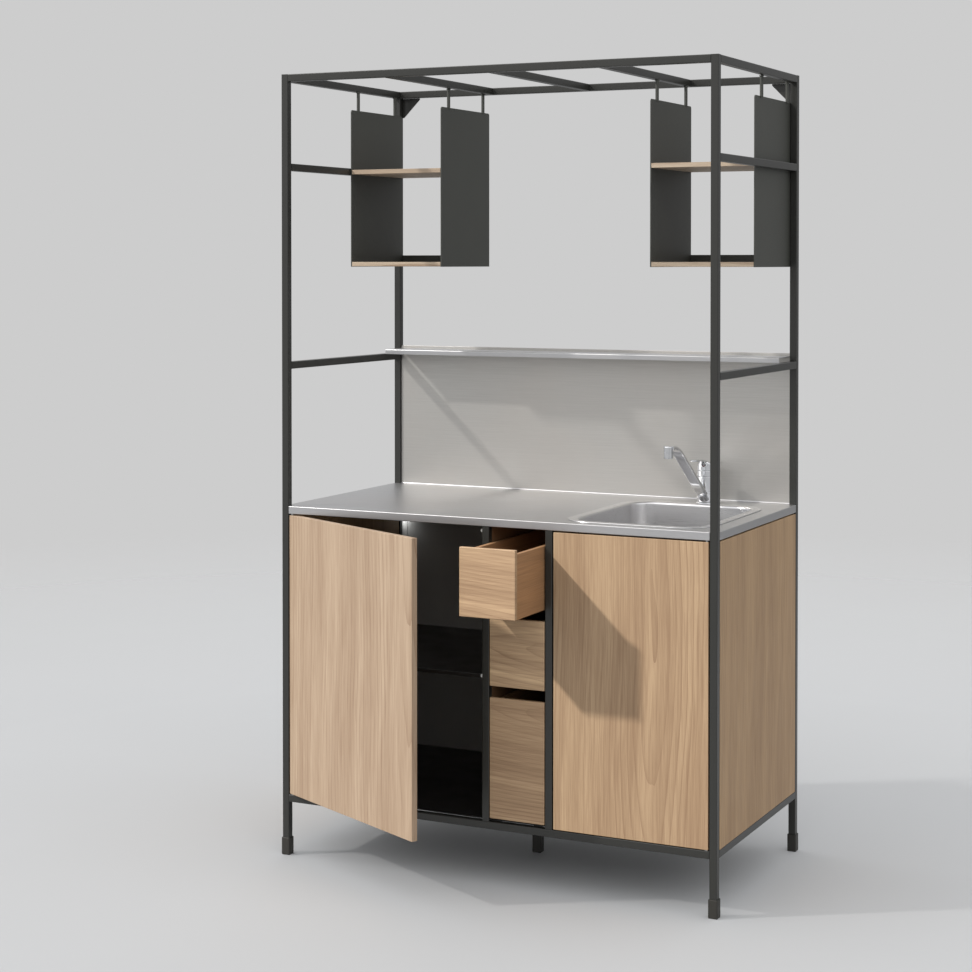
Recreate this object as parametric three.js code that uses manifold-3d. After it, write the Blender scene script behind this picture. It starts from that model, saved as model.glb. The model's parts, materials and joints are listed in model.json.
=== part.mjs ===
// Kitchenette unit: a tall square-tube frame that carries a steel worktop with
// an inset sink and a mixer tap, a base cabinet with two doors and three
// drawers, a splashback with a ledge, and two hanging shelf units.
// Units are millimetres. X runs to the right, Y to the back, Z up. The origin
// is on the floor under the middle of the frame.
import * as THREE from 'three';
import { mergeVertices } from 'three/addons/utils/BufferGeometryUtils.js';
import Module from 'manifold-3d';

const wasm = await Module();
wasm.setup();

// ---- driving sizes ---------------------------------------------------------

// Frame
const UNIT_WIDTH = 1200;
const UNIT_DEPTH = 630;
const UNIT_HEIGHT = 2040;
const TUBE = 19;
const BASE_RAIL_BOTTOM = 140;
const LOWER_SIDE_RAIL_TOP = 1291.5;
const UPPER_SIDE_RAIL_DROP = 231;
const GUSSET_SIZE = 55;
const GUSSET_THICKNESS = 3;
const FIT = 0.3;

// Feet
const FOOT_SIDE = 24;
const FOOT_HEIGHT = 45;
const FOOT_FLOOR = 5;
const FOOT_CORNER = 2;
const FOOT_CHAMFER = 1.5;

// Worktop, splashback and ledge
const WORKTOP_TOP = 915;
const WORKTOP_THICKNESS = 20;
const SPLASH_THICKNESS = 3;
const SPLASH_SETBACK = 10;
const SPLASH_UPSTAND = 7.5;
const LEDGE_DEPTH = 94;
const LEDGE_SHEET = 2;
const LEDGE_LIP = 13.5;
const LEDGE_RISE = 13;

// Sink
const BOWL_LEFT_INSET = 25.5;
const BOWL_RIGHT_INSET = 49;
const BOWL_FRONT_INSET = 57;
const BOWL_BACK_INSET = 122;
const BOWL_CORNER = 58;
const BOWL_DEPTH = 150;
const BOWL_FLOOR_RADIUS = 22;
const BOWL_TAPER = 6;
const SINK_SHEET = 1.5;
const RIM_MARGIN = 26;
const RIM_HEIGHT = 2;
const CUTOUT_GAP = 3;
const WASTE_HOLE_RADIUS = 44;
const STRAINER_FLANGE_RADIUS = 56;
const STRAINER_DEPTH = 50;
const STRAINER_WALL = 2;

// Waste trap
const TRAP_RADIUS = 32;
const TRAP_HEIGHT = 120;
const TRAP_NECK_RADIUS = 20;
const TRAP_NECK_LENGTH = 40;
const TRAP_OUTLET_RADIUS = 20;
const TRAP_OUTLET_RISE = 80;
const TRAP_WALL = 3;

// Tap
const TAP_SPLASH_DISTANCE = 69;
const TAP_OFFSET = 6;
const TAP_RADIUS = 23;
const TAP_FLANGE_RADIUS = 25;
const TAP_FLANGE_HEIGHT = 3;
const TAP_PILLAR_RADIUS = 17;
const TAP_RING_HEIGHT = 27;
const TAP_BODY_TOP = 71;
const TAP_HUB_HEIGHT = 16;
const TAP_SHANK_RADIUS = 14;
const TAP_SHANK_LENGTH = 52;
const TAP_NUT_RADIUS = 24;
const TAP_NUT_HEIGHT = 10;
const SPOUT_REACH = 274;
const SPOUT_WIDTH = 28;
const SPOUT_THICKNESS = 8;
const SPOUT_ROOT_RISE = 26;
const SPOUT_TOP_RISE = 173;
const SPOUT_BEND_LEAD = 69;
const SPOUT_BEND_DROP = 20;
const SPRAY_RADIUS = 12;
const SPRAY_HEIGHT = 32;
const SPRAY_BORE = 8;
const SPRAY_BORE_DEPTH = 10;
const LEVER_BACK_HEIGHT = 8.5;
const LEVER_CROWN_LEAD = 14;
const LEVER_CROWN_HEIGHT = 25;
const LEVER_BEND_LEAD = 42;
const LEVER_BEND_HEIGHT = 30.5;
const LEVER_REACH = 88;
const LEVER_TIP_HEIGHT = 34;
const LEVER_WIDTH = 20;
const LEVER_THICKNESS = 4.5;

// Cabinet
const RIGHT_BAY = 407.5;
const DRAWER_BAY = 153;
const SIDE_PANEL_THICKNESS = 16;
const SIDE_PANEL_END_GAP = 2.5;
const SIDE_PANEL_TOP_GAP = 3.5;
const PARTITION_THICKNESS = 18;
const BACK_PANEL_THICKNESS = 3;
const BASE_PANEL_THICKNESS = 3;
const INNER_SHELF_TOP = 514;
const INNER_SHELF_THICKNESS = 2;
const INNER_SHELF_EDGE = 10;
const INNER_SHELF_SETBACK = 53;
const INNER_SHELF_BACK_GAP = 22;
const STOP_WIDTH = 8.5;
const STOP_HEIGHT = 12;
const STOP_THICKNESS = 1.5;
const STOP_BUFFER = 1.5;
const UPPER_STOP_DROP = 7;
const LOWER_STOP_RISE = 4;

// Doors
const DOOR_THICKNESS = 16;
const DOOR_TOP_GAP = 4;
const DOOR_BOTTOM_GAP = 2;
const DOOR_HINGE_GAP = 3;
const DOOR_FREE_GAP = 3.5;
const PIVOT_INSET = 6;
const PIVOT_RADIUS = 3;
const PIVOT_LENGTH = 12;
const PIVOT_FLANGE_RADIUS = 5;
const PIVOT_FLANGE = 1.2;
const LEFT_DOOR_OPEN = THREE.MathUtils.degToRad(26.8);

// Drawers
const TOP_DRAWER_HEIGHT = 168;
const MIDDLE_DRAWER_HEIGHT = 171;
const FINGER_GAP = 28.7;
const DRAWER_BOTTOM_GAP = 9;
const DRAWER_SIDE_GAP = 1.7;
const DRAWER_LENGTH = 500;
const DRAWER_FRONT_THICKNESS = 12;
const DRAWER_WALL = 12;
const DRAWER_FLOOR = 4;
const DRAWER_RECESS = 12;
const DRAWER_SIDE_DROP = 11;
const DRAWER_SIDE_INSET = 1.2;
const GUIDE_WIDTH = 36;
const GUIDE_HEAD_GAP = 2;
const GUIDE_LENGTH = 420;
const CLEAT_WIDTH = 8;
const CLEAT_HEIGHT = 8;
const RUN_GAP = 1;
const CARRIER_SHEET = 3;
const CARRIER_SETBACK = 40;
const TOP_DRAWER_OPEN = 167;

// Hanging shelf units
const HANGING_DROP = 52;
const HANGING_HEIGHT = 430;
const HANGING_DEPTH = 293;
const HANGING_BACK_GAP = 10;
const HANGING_PLATE = 3;
const HANGING_CORNER = 6;
const HANGING_SIDE_GAP = 0.5;
const HANGING_RAIL_OFFSET = 6.25;
const ROD_RADIUS = 4.5;
const ROD_FRONT_INSET = 45;
const ROD_BACK_INSET = 38;
const ROD_ROOT = 3;
const SHELF_THICKNESS = 12;
const MIDDLE_SHELF_RISE = 253.5;
const LOWER_SHELF_RISE = 1;
const STRIP_HEIGHT = 32;
const STRIP_THICKNESS = 3;

// Number of sides used for round pieces
const ROUND_SEGMENTS = 48;
const SMALL_SEGMENTS = 24;
const CORNER_SEGMENTS = 6;
const BOWL_CORNER_SEGMENTS = 12;
const BOWL_FLOOR_STEPS = 5;

// How far a joined or cutting shape reaches past the face it meets
const REACH = 1;

// ---- places worked out from the driving sizes --------------------------------

const left = -UNIT_WIDTH / 2;
const right = UNIT_WIDTH / 2;
const front = -UNIT_DEPTH / 2;
const back = UNIT_DEPTH / 2;
const innerLeft = left + TUBE;
const innerRight = right - TUBE;
const innerFront = front + TUBE;
const innerBack = back - TUBE;
const baseTop = BASE_RAIL_BOTTOM + TUBE;
const frameTopBottom = UNIT_HEIGHT - TUBE;
const upperSideRailTop = UNIT_HEIGHT - UPPER_SIDE_RAIL_DROP;
const worktopBottom = WORKTOP_TOP - WORKTOP_THICKNESS;
const splashFace = back - SPLASH_SETBACK - SPLASH_THICKNESS;
const panelFace = back - BACK_PANEL_THICKNESS;
const basePanelTop = baseTop + FIT + BASE_PANEL_THICKNESS;
const crossSpacing = (UNIT_WIDTH - TUBE) / 4;
const rightDividerX = innerRight - RIGHT_BAY - TUBE / 2;
const leftDividerX = rightDividerX - TUBE - DRAWER_BAY;

// ---- materials -----------------------------------------------------------------

const material = (color, roughness, metalness) =>
  new THREE.MeshStandardMaterial({ color, roughness, metalness });

const frameSteel = material(0x45443f, 0.55, 0.5);
const plateSteel = material(0x3a3936, 0.5, 0.5);
const blackSteel = material(0x1d1c1b, 0.6, 0.4);
const oak = material(0xc3a680, 0.55, 0);
const stainless = material(0xb4b4b1, 0.32, 0.9);
const splashSteel = material(0xa5a49e, 0.4, 0.8);
const greySteel = material(0x8d8d89, 0.6, 0.4);
const chrome = material(0xc8c9ca, 0.12, 1);
const footPlastic = material(0x33332f, 0.7, 0);
const whitePlastic = material(0xe6e6e2, 0.5, 0);
const zincSteel = material(0x9b9c9d, 0.4, 0.8);

// ---- geometry helpers ----------------------------------------------------------

// A box between two corners, as a geometry in its parent's coordinates.
function boxGeometry([x0, x1], [y0, y1], [z0, z1]) {
  const geometry = new THREE.BoxGeometry(x1 - x0, y1 - y0, z1 - z0);
  return geometry.translate((x0 + x1) / 2, (y0 + y1) / 2, (z0 + z1) / 2);
}

// A cylinder along Z.
function cylinderGeometry(radius, [z0, z1], x = 0, y = 0, segments = ROUND_SEGMENTS) {
  const geometry = new THREE.CylinderGeometry(radius, radius, z1 - z0, segments);
  return geometry.rotateX(Math.PI / 2).translate(x, y, (z0 + z1) / 2);
}

// A profile of [radius, z] points turned round the Z axis.
function turnedGeometry(profile, x = 0, y = 0, segments = ROUND_SEGMENTS) {
  const points = profile.map(([radius, z]) => new THREE.Vector2(radius, z));
  const geometry = new THREE.LatheGeometry(points, segments);
  return geometry.rotateX(Math.PI / 2).translate(x, y, 0);
}

// A profile in the YZ plane, drawn out along X.
function sideProfileGeometry(shape, [x0, x1], curveSegments = CORNER_SEGMENTS) {
  const settings = { depth: x1 - x0, bevelEnabled: false, curveSegments };
  const geometry = new THREE.ExtrudeGeometry(shape, settings);
  geometry.rotateX(Math.PI / 2).rotateZ(Math.PI / 2);
  return geometry.translate(x0, 0, 0);
}

// A profile in the XZ plane, drawn out along Y.
function frontProfileGeometry(shape, [y0, y1]) {
  const settings = { depth: y1 - y0, bevelEnabled: false, curveSegments: CORNER_SEGMENTS };
  const geometry = new THREE.ExtrudeGeometry(shape, settings);
  return geometry.rotateX(Math.PI / 2).translate(0, y1, 0);
}

// The outline of a rectangle with round corners, as a ring of points at one height.
function roundedRing([x0, x1], [y0, y1], radius, z, steps) {
  const corners = [
    [x1 - radius, y1 - radius, 0],
    [x0 + radius, y1 - radius, 1],
    [x0 + radius, y0 + radius, 2],
    [x1 - radius, y0 + radius, 3],
  ];
  const ring = [];
  for (const [cx, cy, quarter] of corners) {
    for (let step = 0; step <= steps; step += 1) {
      const angle = (Math.PI / 2) * (quarter + step / steps);
      ring.push([cx + radius * Math.cos(angle), cy + radius * Math.sin(angle), z]);
    }
  }
  return ring;
}

// A closed solid through rings that have equal numbers of points, lowest first.
function stackedGeometry(rings) {
  const count = rings[0].length;
  const positions = rings.flat(2);
  const faces = [];
  for (let level = 0; level < rings.length - 1; level += 1) {
    for (let i = 0; i < count; i += 1) {
      const next = (i + 1) % count;
      const low = level * count;
      const high = low + count;
      faces.push(low + i, low + next, high + next);
      faces.push(low + i, high + next, high + i);
    }
  }
  const top = (rings.length - 1) * count;
  for (let i = 1; i < count - 1; i += 1) {
    faces.push(0, i + 1, i);
    faces.push(top, top + i, top + i + 1);
  }
  const geometry = new THREE.BufferGeometry();
  geometry.setAttribute('position', new THREE.Float32BufferAttribute(positions, 3));
  geometry.setIndex(faces);
  return geometry;
}

// Turns a closed geometry into a solid for joining and cutting.
function solid(geometry) {
  const bare = geometry.clone();
  bare.deleteAttribute('normal');
  bare.deleteAttribute('uv');
  const merged = mergeVertices(bare, 1e-4);
  return new wasm.Manifold(
    new wasm.Mesh({
      numProp: 3,
      vertProperties: Float32Array.from(merged.attributes.position.array),
      triVerts: Uint32Array.from(merged.index.array),
    }),
  );
}

// Turns a solid back into a geometry.
function geometryOf(shape) {
  const mesh = shape.getMesh();
  const geometry = new THREE.BufferGeometry();
  const positions = Float32Array.from(mesh.vertProperties);
  geometry.setAttribute('position', new THREE.BufferAttribute(positions, 3));
  geometry.setIndex(new THREE.BufferAttribute(Uint32Array.from(mesh.triVerts), 1));
  const flat = geometry.toNonIndexed();
  flat.computeVertexNormals();
  return flat;
}

const joined = (...geometries) => geometries.map(solid).reduce((a, b) => a.add(b));
const cut = (shape, ...geometries) => geometries.map(solid).reduce((a, b) => a.subtract(b), shape);

function addMesh(parent, name, geometry, surface) {
  const mesh = new THREE.Mesh(geometry, surface);
  mesh.name = name;
  parent.add(mesh);
  return mesh;
}

// A plain box piece, centred on its own origin and placed by its position.
function addBox(parent, name, surface, x, y, z) {
  const size = [x[1] - x[0], y[1] - y[0], z[1] - z[0]];
  const mesh = addMesh(parent, name, new THREE.BoxGeometry(...size), surface);
  mesh.position.set((x[0] + x[1]) / 2, (y[0] + y[1]) / 2, (z[0] + z[1]) / 2);
  return mesh;
}

const around = (centre, width) => [centre - width / 2, centre + width / 2];
const grown = ([low, high], margin) => [low - margin, high + margin];

// ---- frame -----------------------------------------------------------------------

const cornerSpan = { left: [left, innerLeft], right: [innerRight, right] };
const depthSpan = { front: [front, innerFront], back: [innerBack, back] };
const betweenPosts = {
  x: [innerLeft + FIT, innerRight - FIT],
  y: [innerFront + FIT, innerBack - FIT],
};

// A sleeve with a square socket that takes the end of a tube.
function footGeometry(x, y) {
  const socket = TUBE + 2 * FIT;
  const shrink = FOOT_CHAMFER * 2;
  const rings = [
    [FOOT_SIDE - shrink, 0],
    [FOOT_SIDE, FOOT_CHAMFER],
    [FOOT_SIDE, FOOT_HEIGHT - FOOT_CHAMFER / 2],
    [FOOT_SIDE - FOOT_CHAMFER, FOOT_HEIGHT],
  ];
  const levels = rings.map(([side, z]) =>
    roundedRing(around(x, side), around(y, side), FOOT_CORNER, z, CORNER_SEGMENTS));
  const hole = boxGeometry(around(x, socket), around(y, socket), [FOOT_FLOOR, FOOT_HEIGHT + REACH]);
  return geometryOf(cut(solid(stackedGeometry(levels)), hole));
}

function addFeet(parent) {
  const middle = TUBE / 2;
  const feet = [
    ['foot_front_left', left + middle, front + middle],
    ['foot_front_right', right - middle, front + middle],
    ['foot_back_left', left + middle, back - middle],
    ['foot_back_right', right - middle, back - middle],
    ['foot_middle', leftDividerX, 0],
  ];
  for (const [name, x, y] of feet) {
    const mesh = addMesh(parent, name, footGeometry(0, 0), footPlastic);
    mesh.position.set(x, y, 0);
  }
}

// Four posts; each back post carries a gusset plate for the top frame.
function addPosts(parent) {
  const z = [FOOT_FLOOR + FIT, frameTopBottom - FIT];
  for (const side of ['left', 'right']) {
    addBox(parent, `post_front_${side}`, frameSteel, cornerSpan[side], depthSpan.front, z);

    const inward = side === 'left' ? 1 : -1;
    const face = side === 'left' ? innerLeft : innerRight;
    const root = face - inward * (TUBE / 2);
    const corner = new THREE.Shape();
    corner.moveTo(root, z[1]);
    corner.lineTo(face + inward * GUSSET_SIZE, z[1]);
    corner.lineTo(face, z[1] - GUSSET_SIZE);
    corner.lineTo(root, z[1] - GUSSET_SIZE);
    corner.closePath();
    const gusset = frontProfileGeometry(corner, [back - GUSSET_THICKNESS, back]);
    const post = joined(boxGeometry(cornerSpan[side], depthSpan.back, z), gusset);
    addMesh(parent, `post_back_${side}`, geometryOf(post), frameSteel);
  }
}

// The welded ladder that closes the frame at the top.
function addTopFrame(parent) {
  const z = [frameTopBottom, UNIT_HEIGHT];
  const ring = cut(
    solid(boxGeometry([left, right], [front, back], z)),
    boxGeometry([innerLeft, innerRight], [innerFront, innerBack], grown(z, REACH)),
  );
  const rungY = grown([innerFront, innerBack], REACH);
  const rungs = [-1, 0, 1].map((place) =>
    solid(boxGeometry(around(place * crossSpacing, TUBE), rungY, z)));
  const ladder = rungs.reduce((shape, rung) => shape.add(rung), ring);
  addMesh(parent, 'top_frame', geometryOf(ladder), frameSteel);
}

function addSideRails(parent) {
  const levels = [['lower', LOWER_SIDE_RAIL_TOP], ['upper', upperSideRailTop]];
  for (const side of ['left', 'right']) {
    for (const [level, top] of levels) {
      const z = [top - TUBE, top];
      addBox(parent, `side_rail_${level}_${side}`, frameSteel, cornerSpan[side], betweenPosts.y, z);
    }
    const z = [BASE_RAIL_BOTTOM, baseTop];
    addBox(parent, `bottom_rail_${side}`, frameSteel, cornerSpan[side], betweenPosts.y, z);
  }
}

// Where a door turns: the pin stands a little inside the door's front corner.
const hingeEdge = { left: innerLeft + DOOR_HINGE_GAP, right: innerRight - DOOR_HINGE_GAP };
const pivotX = { left: hingeEdge.left + PIVOT_INSET, right: hingeEdge.right - PIVOT_INSET };
const pivotY = front + PIVOT_INSET;
const doorBottom = baseTop + DOOR_BOTTOM_GAP;
const doorTop = worktopBottom - DOOR_TOP_GAP;
const boreRadius = PIVOT_RADIUS + FIT;

function pivotBore(side, z) {
  return cylinderGeometry(boreRadius, z, pivotX[side], pivotY, SMALL_SEGMENTS);
}

// Front and back bottom rails joined by a middle rail with a leg under it.
function addBaseFrame(parent) {
  const z = [BASE_RAIL_BOTTOM, baseTop];
  const frame = joined(
    boxGeometry(betweenPosts.x, depthSpan.front, z),
    boxGeometry(betweenPosts.x, depthSpan.back, z),
    boxGeometry(around(leftDividerX, TUBE), grown([innerFront, innerBack], REACH), z),
    boxGeometry(around(leftDividerX, TUBE), around(0, TUBE), [FOOT_FLOOR + FIT, baseTop]),
  );
  const boreZ = [baseTop - PIVOT_LENGTH - FIT, baseTop + REACH];
  const bored = cut(frame, pivotBore('left', boreZ), pivotBore('right', boreZ));
  addMesh(parent, 'base_frame', geometryOf(bored), frameSteel);
}

// The two short posts beside the drawers, each with two tabs that stop a door.
function addDividers(parent) {
  const z = [baseTop + FIT, worktopBottom - FIT];
  const stopHeights = [
    worktopBottom - UPPER_STOP_DROP - STOP_HEIGHT / 2,
    INNER_SHELF_TOP + LOWER_STOP_RISE,
  ];
  const stopFront = front + DOOR_THICKNESS + STOP_BUFFER;
  const stopY = [stopFront, stopFront + STOP_THICKNESS];
  const dividers = [
    ['left', leftDividerX, leftDividerX - TUBE / 2 - STOP_WIDTH],
    ['right', rightDividerX, rightDividerX + TUBE / 2 + STOP_WIDTH],
  ];
  for (const [side, x, tip] of dividers) {
    const stopX = [Math.min(x, tip), Math.max(x, tip)];
    const tabs = stopHeights.map((height) => boxGeometry(stopX, stopY, around(height, STOP_HEIGHT)));
    const post = joined(boxGeometry(around(x, TUBE), depthSpan.front, z), ...tabs);
    addMesh(parent, `divider_post_${side}`, geometryOf(post), frameSteel);
  }
}

// ---- worktop, splashback and ledge -----------------------------------------------

const bowlX = [rightDividerX + TUBE / 2 + BOWL_LEFT_INSET, innerRight - BOWL_RIGHT_INSET];
const bowlY = [front + BOWL_FRONT_INSET, splashFace - BOWL_BACK_INSET];
const bowlCentre = { x: (bowlX[0] + bowlX[1]) / 2, y: (bowlY[0] + bowlY[1]) / 2 };
const tapX = bowlCentre.x + TAP_OFFSET;
const tapY = splashFace - TAP_SPLASH_DISTANCE;

// The steel-faced slab, notched round the posts and cut out for the bowl.
function addWorktop(parent) {
  const z = [worktopBottom, WORKTOP_TOP];
  const notch = TUBE + FIT;
  const deep = grown(z, REACH);
  const slab = solid(boxGeometry([left, right], [front, panelFace - FIT], z));
  const notches = [];
  for (const x of [[left - REACH, left + notch], [right - notch, right + REACH]]) {
    for (const y of [[front - REACH, front + notch], [back - notch, back + REACH]]) {
      notches.push(boxGeometry(x, y, deep));
    }
  }
  const gap = SINK_SHEET + CUTOUT_GAP;
  const hole = stackedGeometry(deep.map((level) =>
    roundedRing(grown(bowlX, gap), grown(bowlY, gap), BOWL_CORNER + gap, level,
      BOWL_CORNER_SEGMENTS)));
  const boreZ = [worktopBottom - REACH, worktopBottom + PIVOT_LENGTH + FIT];
  const pieces = [
    ...notches,
    hole,
    cylinderGeometry(TAP_SHANK_RADIUS + CUTOUT_GAP / 2, deep, tapX, tapY),
    pivotBore('left', boreZ),
    pivotBore('right', boreZ),
  ];
  addMesh(parent, 'worktop', geometryOf(cut(slab, ...pieces)), stainless);
}

// A sheet that stands on the worktop between the back posts.
function addSplashback(parent) {
  const top = LOWER_SIDE_RAIL_TOP + LEDGE_RISE + SPLASH_UPSTAND;
  const y = [splashFace, splashFace + SPLASH_THICKNESS];
  addBox(parent, 'splashback', splashSteel, betweenPosts.x, y, [WORKTOP_TOP + FIT, top]);
}

// A folded sheet: the flat top and a lip at the front.
function addLedge(parent) {
  const top = LOWER_SIDE_RAIL_TOP + LEDGE_RISE;
  const y = [splashFace - FIT - LEDGE_DEPTH, splashFace - FIT];
  const x = betweenPosts.x;
  const ledge = joined(
    boxGeometry(x, y, [top - LEDGE_SHEET, top]),
    boxGeometry(x, [y[0], y[0] + LEDGE_SHEET], [top - LEDGE_LIP, top]),
  );
  addMesh(parent, 'ledge', geometryOf(ledge), stainless);
}

// ---- sink --------------------------------------------------------------------------

const rimTop = WORKTOP_TOP + FIT + RIM_HEIGHT;
const bowlFloor = rimTop - BOWL_DEPTH;

// The rings of the bowl, from the floor up: a round floor edge, then walls that lean out.
function bowlRings(skin, top) {
  const rings = [];
  const floor = bowlFloor - skin;
  const floorRadius = BOWL_FLOOR_RADIUS + skin;
  const lean = (z) => (BOWL_TAPER * (rimTop - z)) / BOWL_DEPTH;
  for (let step = 0; step <= BOWL_FLOOR_STEPS; step += 1) {
    const angle = (Math.PI / 2) * (step / BOWL_FLOOR_STEPS);
    const z = floor + floorRadius * (1 - Math.cos(angle));
    const inset = floorRadius * (1 - Math.sin(angle)) + lean(z) - skin;
    rings.push([inset, z]);
  }
  rings.push([lean(top) - skin, top]);
  return rings.map(([inset, z]) =>
    roundedRing(grown(bowlX, -inset), grown(bowlY, -inset), BOWL_CORNER - inset, z,
      BOWL_CORNER_SEGMENTS));
}

function addSinkBowl(parent) {
  const rimRing = (z, margin) =>
    roundedRing(grown(bowlX, margin), grown(bowlY, margin), BOWL_CORNER + margin, z,
      BOWL_CORNER_SEGMENTS);
  const rim = stackedGeometry([
    rimRing(WORKTOP_TOP + FIT, RIM_MARGIN),
    rimRing(WORKTOP_TOP + FIT + RIM_HEIGHT / 2, RIM_MARGIN),
    rimRing(rimTop, RIM_MARGIN - RIM_HEIGHT),
  ]);
  const shell = joined(rim, stackedGeometry(bowlRings(SINK_SHEET, rimTop)));
  const wasteZ = [bowlFloor - SINK_SHEET - REACH, bowlFloor + REACH];
  const bowl = cut(
    shell,
    stackedGeometry(bowlRings(0, rimTop + REACH)),
    cylinderGeometry(WASTE_HOLE_RADIUS, wasteZ, bowlCentre.x, bowlCentre.y),
  );
  addMesh(parent, 'sink_bowl', geometryOf(bowl), stainless);
}

// The basket that sits in the waste hole, with its spigot below.
const strainerBottom = bowlFloor - STRAINER_DEPTH;
function addStrainer(parent) {
  const body = WASTE_HOLE_RADIUS - FIT;
  const flangeTop = bowlFloor + FIT + STRAINER_WALL;
  const geometry = turnedGeometry([
    [0, strainerBottom],
    [body - STRAINER_WALL, strainerBottom],
    [body, strainerBottom + STRAINER_WALL],
    [body, bowlFloor + FIT],
    [STRAINER_FLANGE_RADIUS, bowlFloor + FIT],
    [STRAINER_FLANGE_RADIUS - STRAINER_WALL, flangeTop],
    [body - STRAINER_WALL, flangeTop],
    [body - 2 * STRAINER_WALL, strainerBottom + STRAINER_WALL],
    [0, strainerBottom + STRAINER_WALL],
  ]);
  const mesh = addMesh(parent, 'sink_strainer', geometry, stainless);
  mesh.position.set(bowlCentre.x, bowlCentre.y, 0);
}

// A bottle trap: neck under the strainer, round cup, and an outlet to the back.
function addTrap(parent) {
  const neckTop = strainerBottom - FIT;
  const cupTop = neckTop - TRAP_NECK_LENGTH;
  const cupBottom = cupTop - TRAP_HEIGHT;
  const outletZ = cupBottom + TRAP_OUTLET_RISE;
  const cup = turnedGeometry([
    [0, cupBottom],
    [TRAP_RADIUS - TRAP_WALL, cupBottom],
    [TRAP_RADIUS, cupBottom + TRAP_WALL],
    [TRAP_RADIUS, cupTop],
    [TRAP_NECK_RADIUS, cupTop + TRAP_WALL],
    [TRAP_NECK_RADIUS, neckTop],
    [0, neckTop],
  ], bowlCentre.x, bowlCentre.y, SMALL_SEGMENTS);
  const length = panelFace - FIT - bowlCentre.y;
  const pipe = new THREE.CylinderGeometry(
    TRAP_OUTLET_RADIUS, TRAP_OUTLET_RADIUS, length, SMALL_SEGMENTS);
  pipe.translate(bowlCentre.x, bowlCentre.y + length / 2, outletZ);
  addMesh(parent, 'waste_trap', geometryOf(joined(cup, pipe)), whitePlastic);
}

// ---- tap -----------------------------------------------------------------------------

// Heights in the tap's own group count from the worktop's surface.
const hubBottom = TAP_BODY_TOP + FIT;
const hubTop = hubBottom + TAP_HUB_HEIGHT;
const leverBottom = hubTop + FIT;
const ringBottom = FIT + TAP_FLANGE_HEIGHT + FIT;
const ringTop = ringBottom + TAP_RING_HEIGHT;

// Flange, pillar and upper body turned in one piece, with the shank and its nut below.
function tapBodyGeometry() {
  const pillar = TAP_PILLAR_RADIUS;
  const nutTop = -WORKTOP_THICKNESS - FIT;
  return turnedGeometry([
    [0, -TAP_SHANK_LENGTH],
    [TAP_SHANK_RADIUS, -TAP_SHANK_LENGTH],
    [TAP_SHANK_RADIUS, nutTop - TAP_NUT_HEIGHT],
    [TAP_NUT_RADIUS, nutTop - TAP_NUT_HEIGHT],
    [TAP_NUT_RADIUS, nutTop],
    [TAP_SHANK_RADIUS, nutTop],
    [TAP_SHANK_RADIUS, FIT],
    [TAP_FLANGE_RADIUS, FIT],
    [TAP_FLANGE_RADIUS, ringBottom - FIT],
    [pillar, ringBottom - FIT],
    [pillar, ringTop + FIT],
    [TAP_RADIUS, ringTop + FIT],
    [TAP_RADIUS, TAP_BODY_TOP],
    [0, TAP_BODY_TOP],
  ]);
}

// The blade of the spout from the side: straight up from the ring, then a bend to the head.
function spoutShape() {
  const rootY = -TAP_RADIUS + REACH;
  const rootZ = ringBottom + SPOUT_ROOT_RISE;
  const bendY = -SPOUT_REACH + SPOUT_BEND_LEAD;
  const bendZ = SPOUT_TOP_RISE - SPOUT_BEND_DROP;
  const run = rootY - bendY;
  const rise = bendZ - rootZ;
  const length = Math.hypot(run, rise);
  const acrossY = (SPOUT_THICKNESS * rise) / length;
  const acrossZ = (SPOUT_THICKNESS * run) / length;
  const headY = -SPOUT_REACH;
  const controlY = bendY - ((SPOUT_TOP_RISE - bendZ) * run) / rise;
  const shape = new THREE.Shape();
  shape.moveTo(rootY, rootZ);
  shape.lineTo(bendY, bendZ);
  shape.quadraticCurveTo(controlY, SPOUT_TOP_RISE, headY, SPOUT_TOP_RISE);
  shape.lineTo(headY, SPOUT_TOP_RISE - SPOUT_THICKNESS);
  shape.quadraticCurveTo(
    controlY - acrossY / 2, SPOUT_TOP_RISE - SPOUT_THICKNESS, bendY - acrossY, bendZ - acrossZ);
  shape.lineTo(rootY - acrossY, rootZ - acrossZ);
  shape.lineTo(rootY, rootZ - acrossZ);
  shape.closePath();
  return shape;
}

function spoutGeometry() {
  const blade = sideProfileGeometry(spoutShape(), around(0, SPOUT_WIDTH), SMALL_SEGMENTS);
  const ring = cylinderGeometry(TAP_RADIUS, [ringBottom, ringTop]);
  const headZ = [SPOUT_TOP_RISE - SPRAY_HEIGHT, SPOUT_TOP_RISE];
  const head = cylinderGeometry(SPRAY_RADIUS, headZ, 0, -SPOUT_REACH, SMALL_SEGMENTS);
  const boreZ = [headZ[0] - REACH, headZ[0] + SPRAY_BORE_DEPTH];
  return geometryOf(cut(
    joined(ring, blade, head),
    cylinderGeometry(TAP_PILLAR_RADIUS + FIT, grown([ringBottom, ringTop], REACH)),
    cylinderGeometry(SPRAY_BORE, boreZ, 0, -SPOUT_REACH, SMALL_SEGMENTS),
  ));
}

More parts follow.
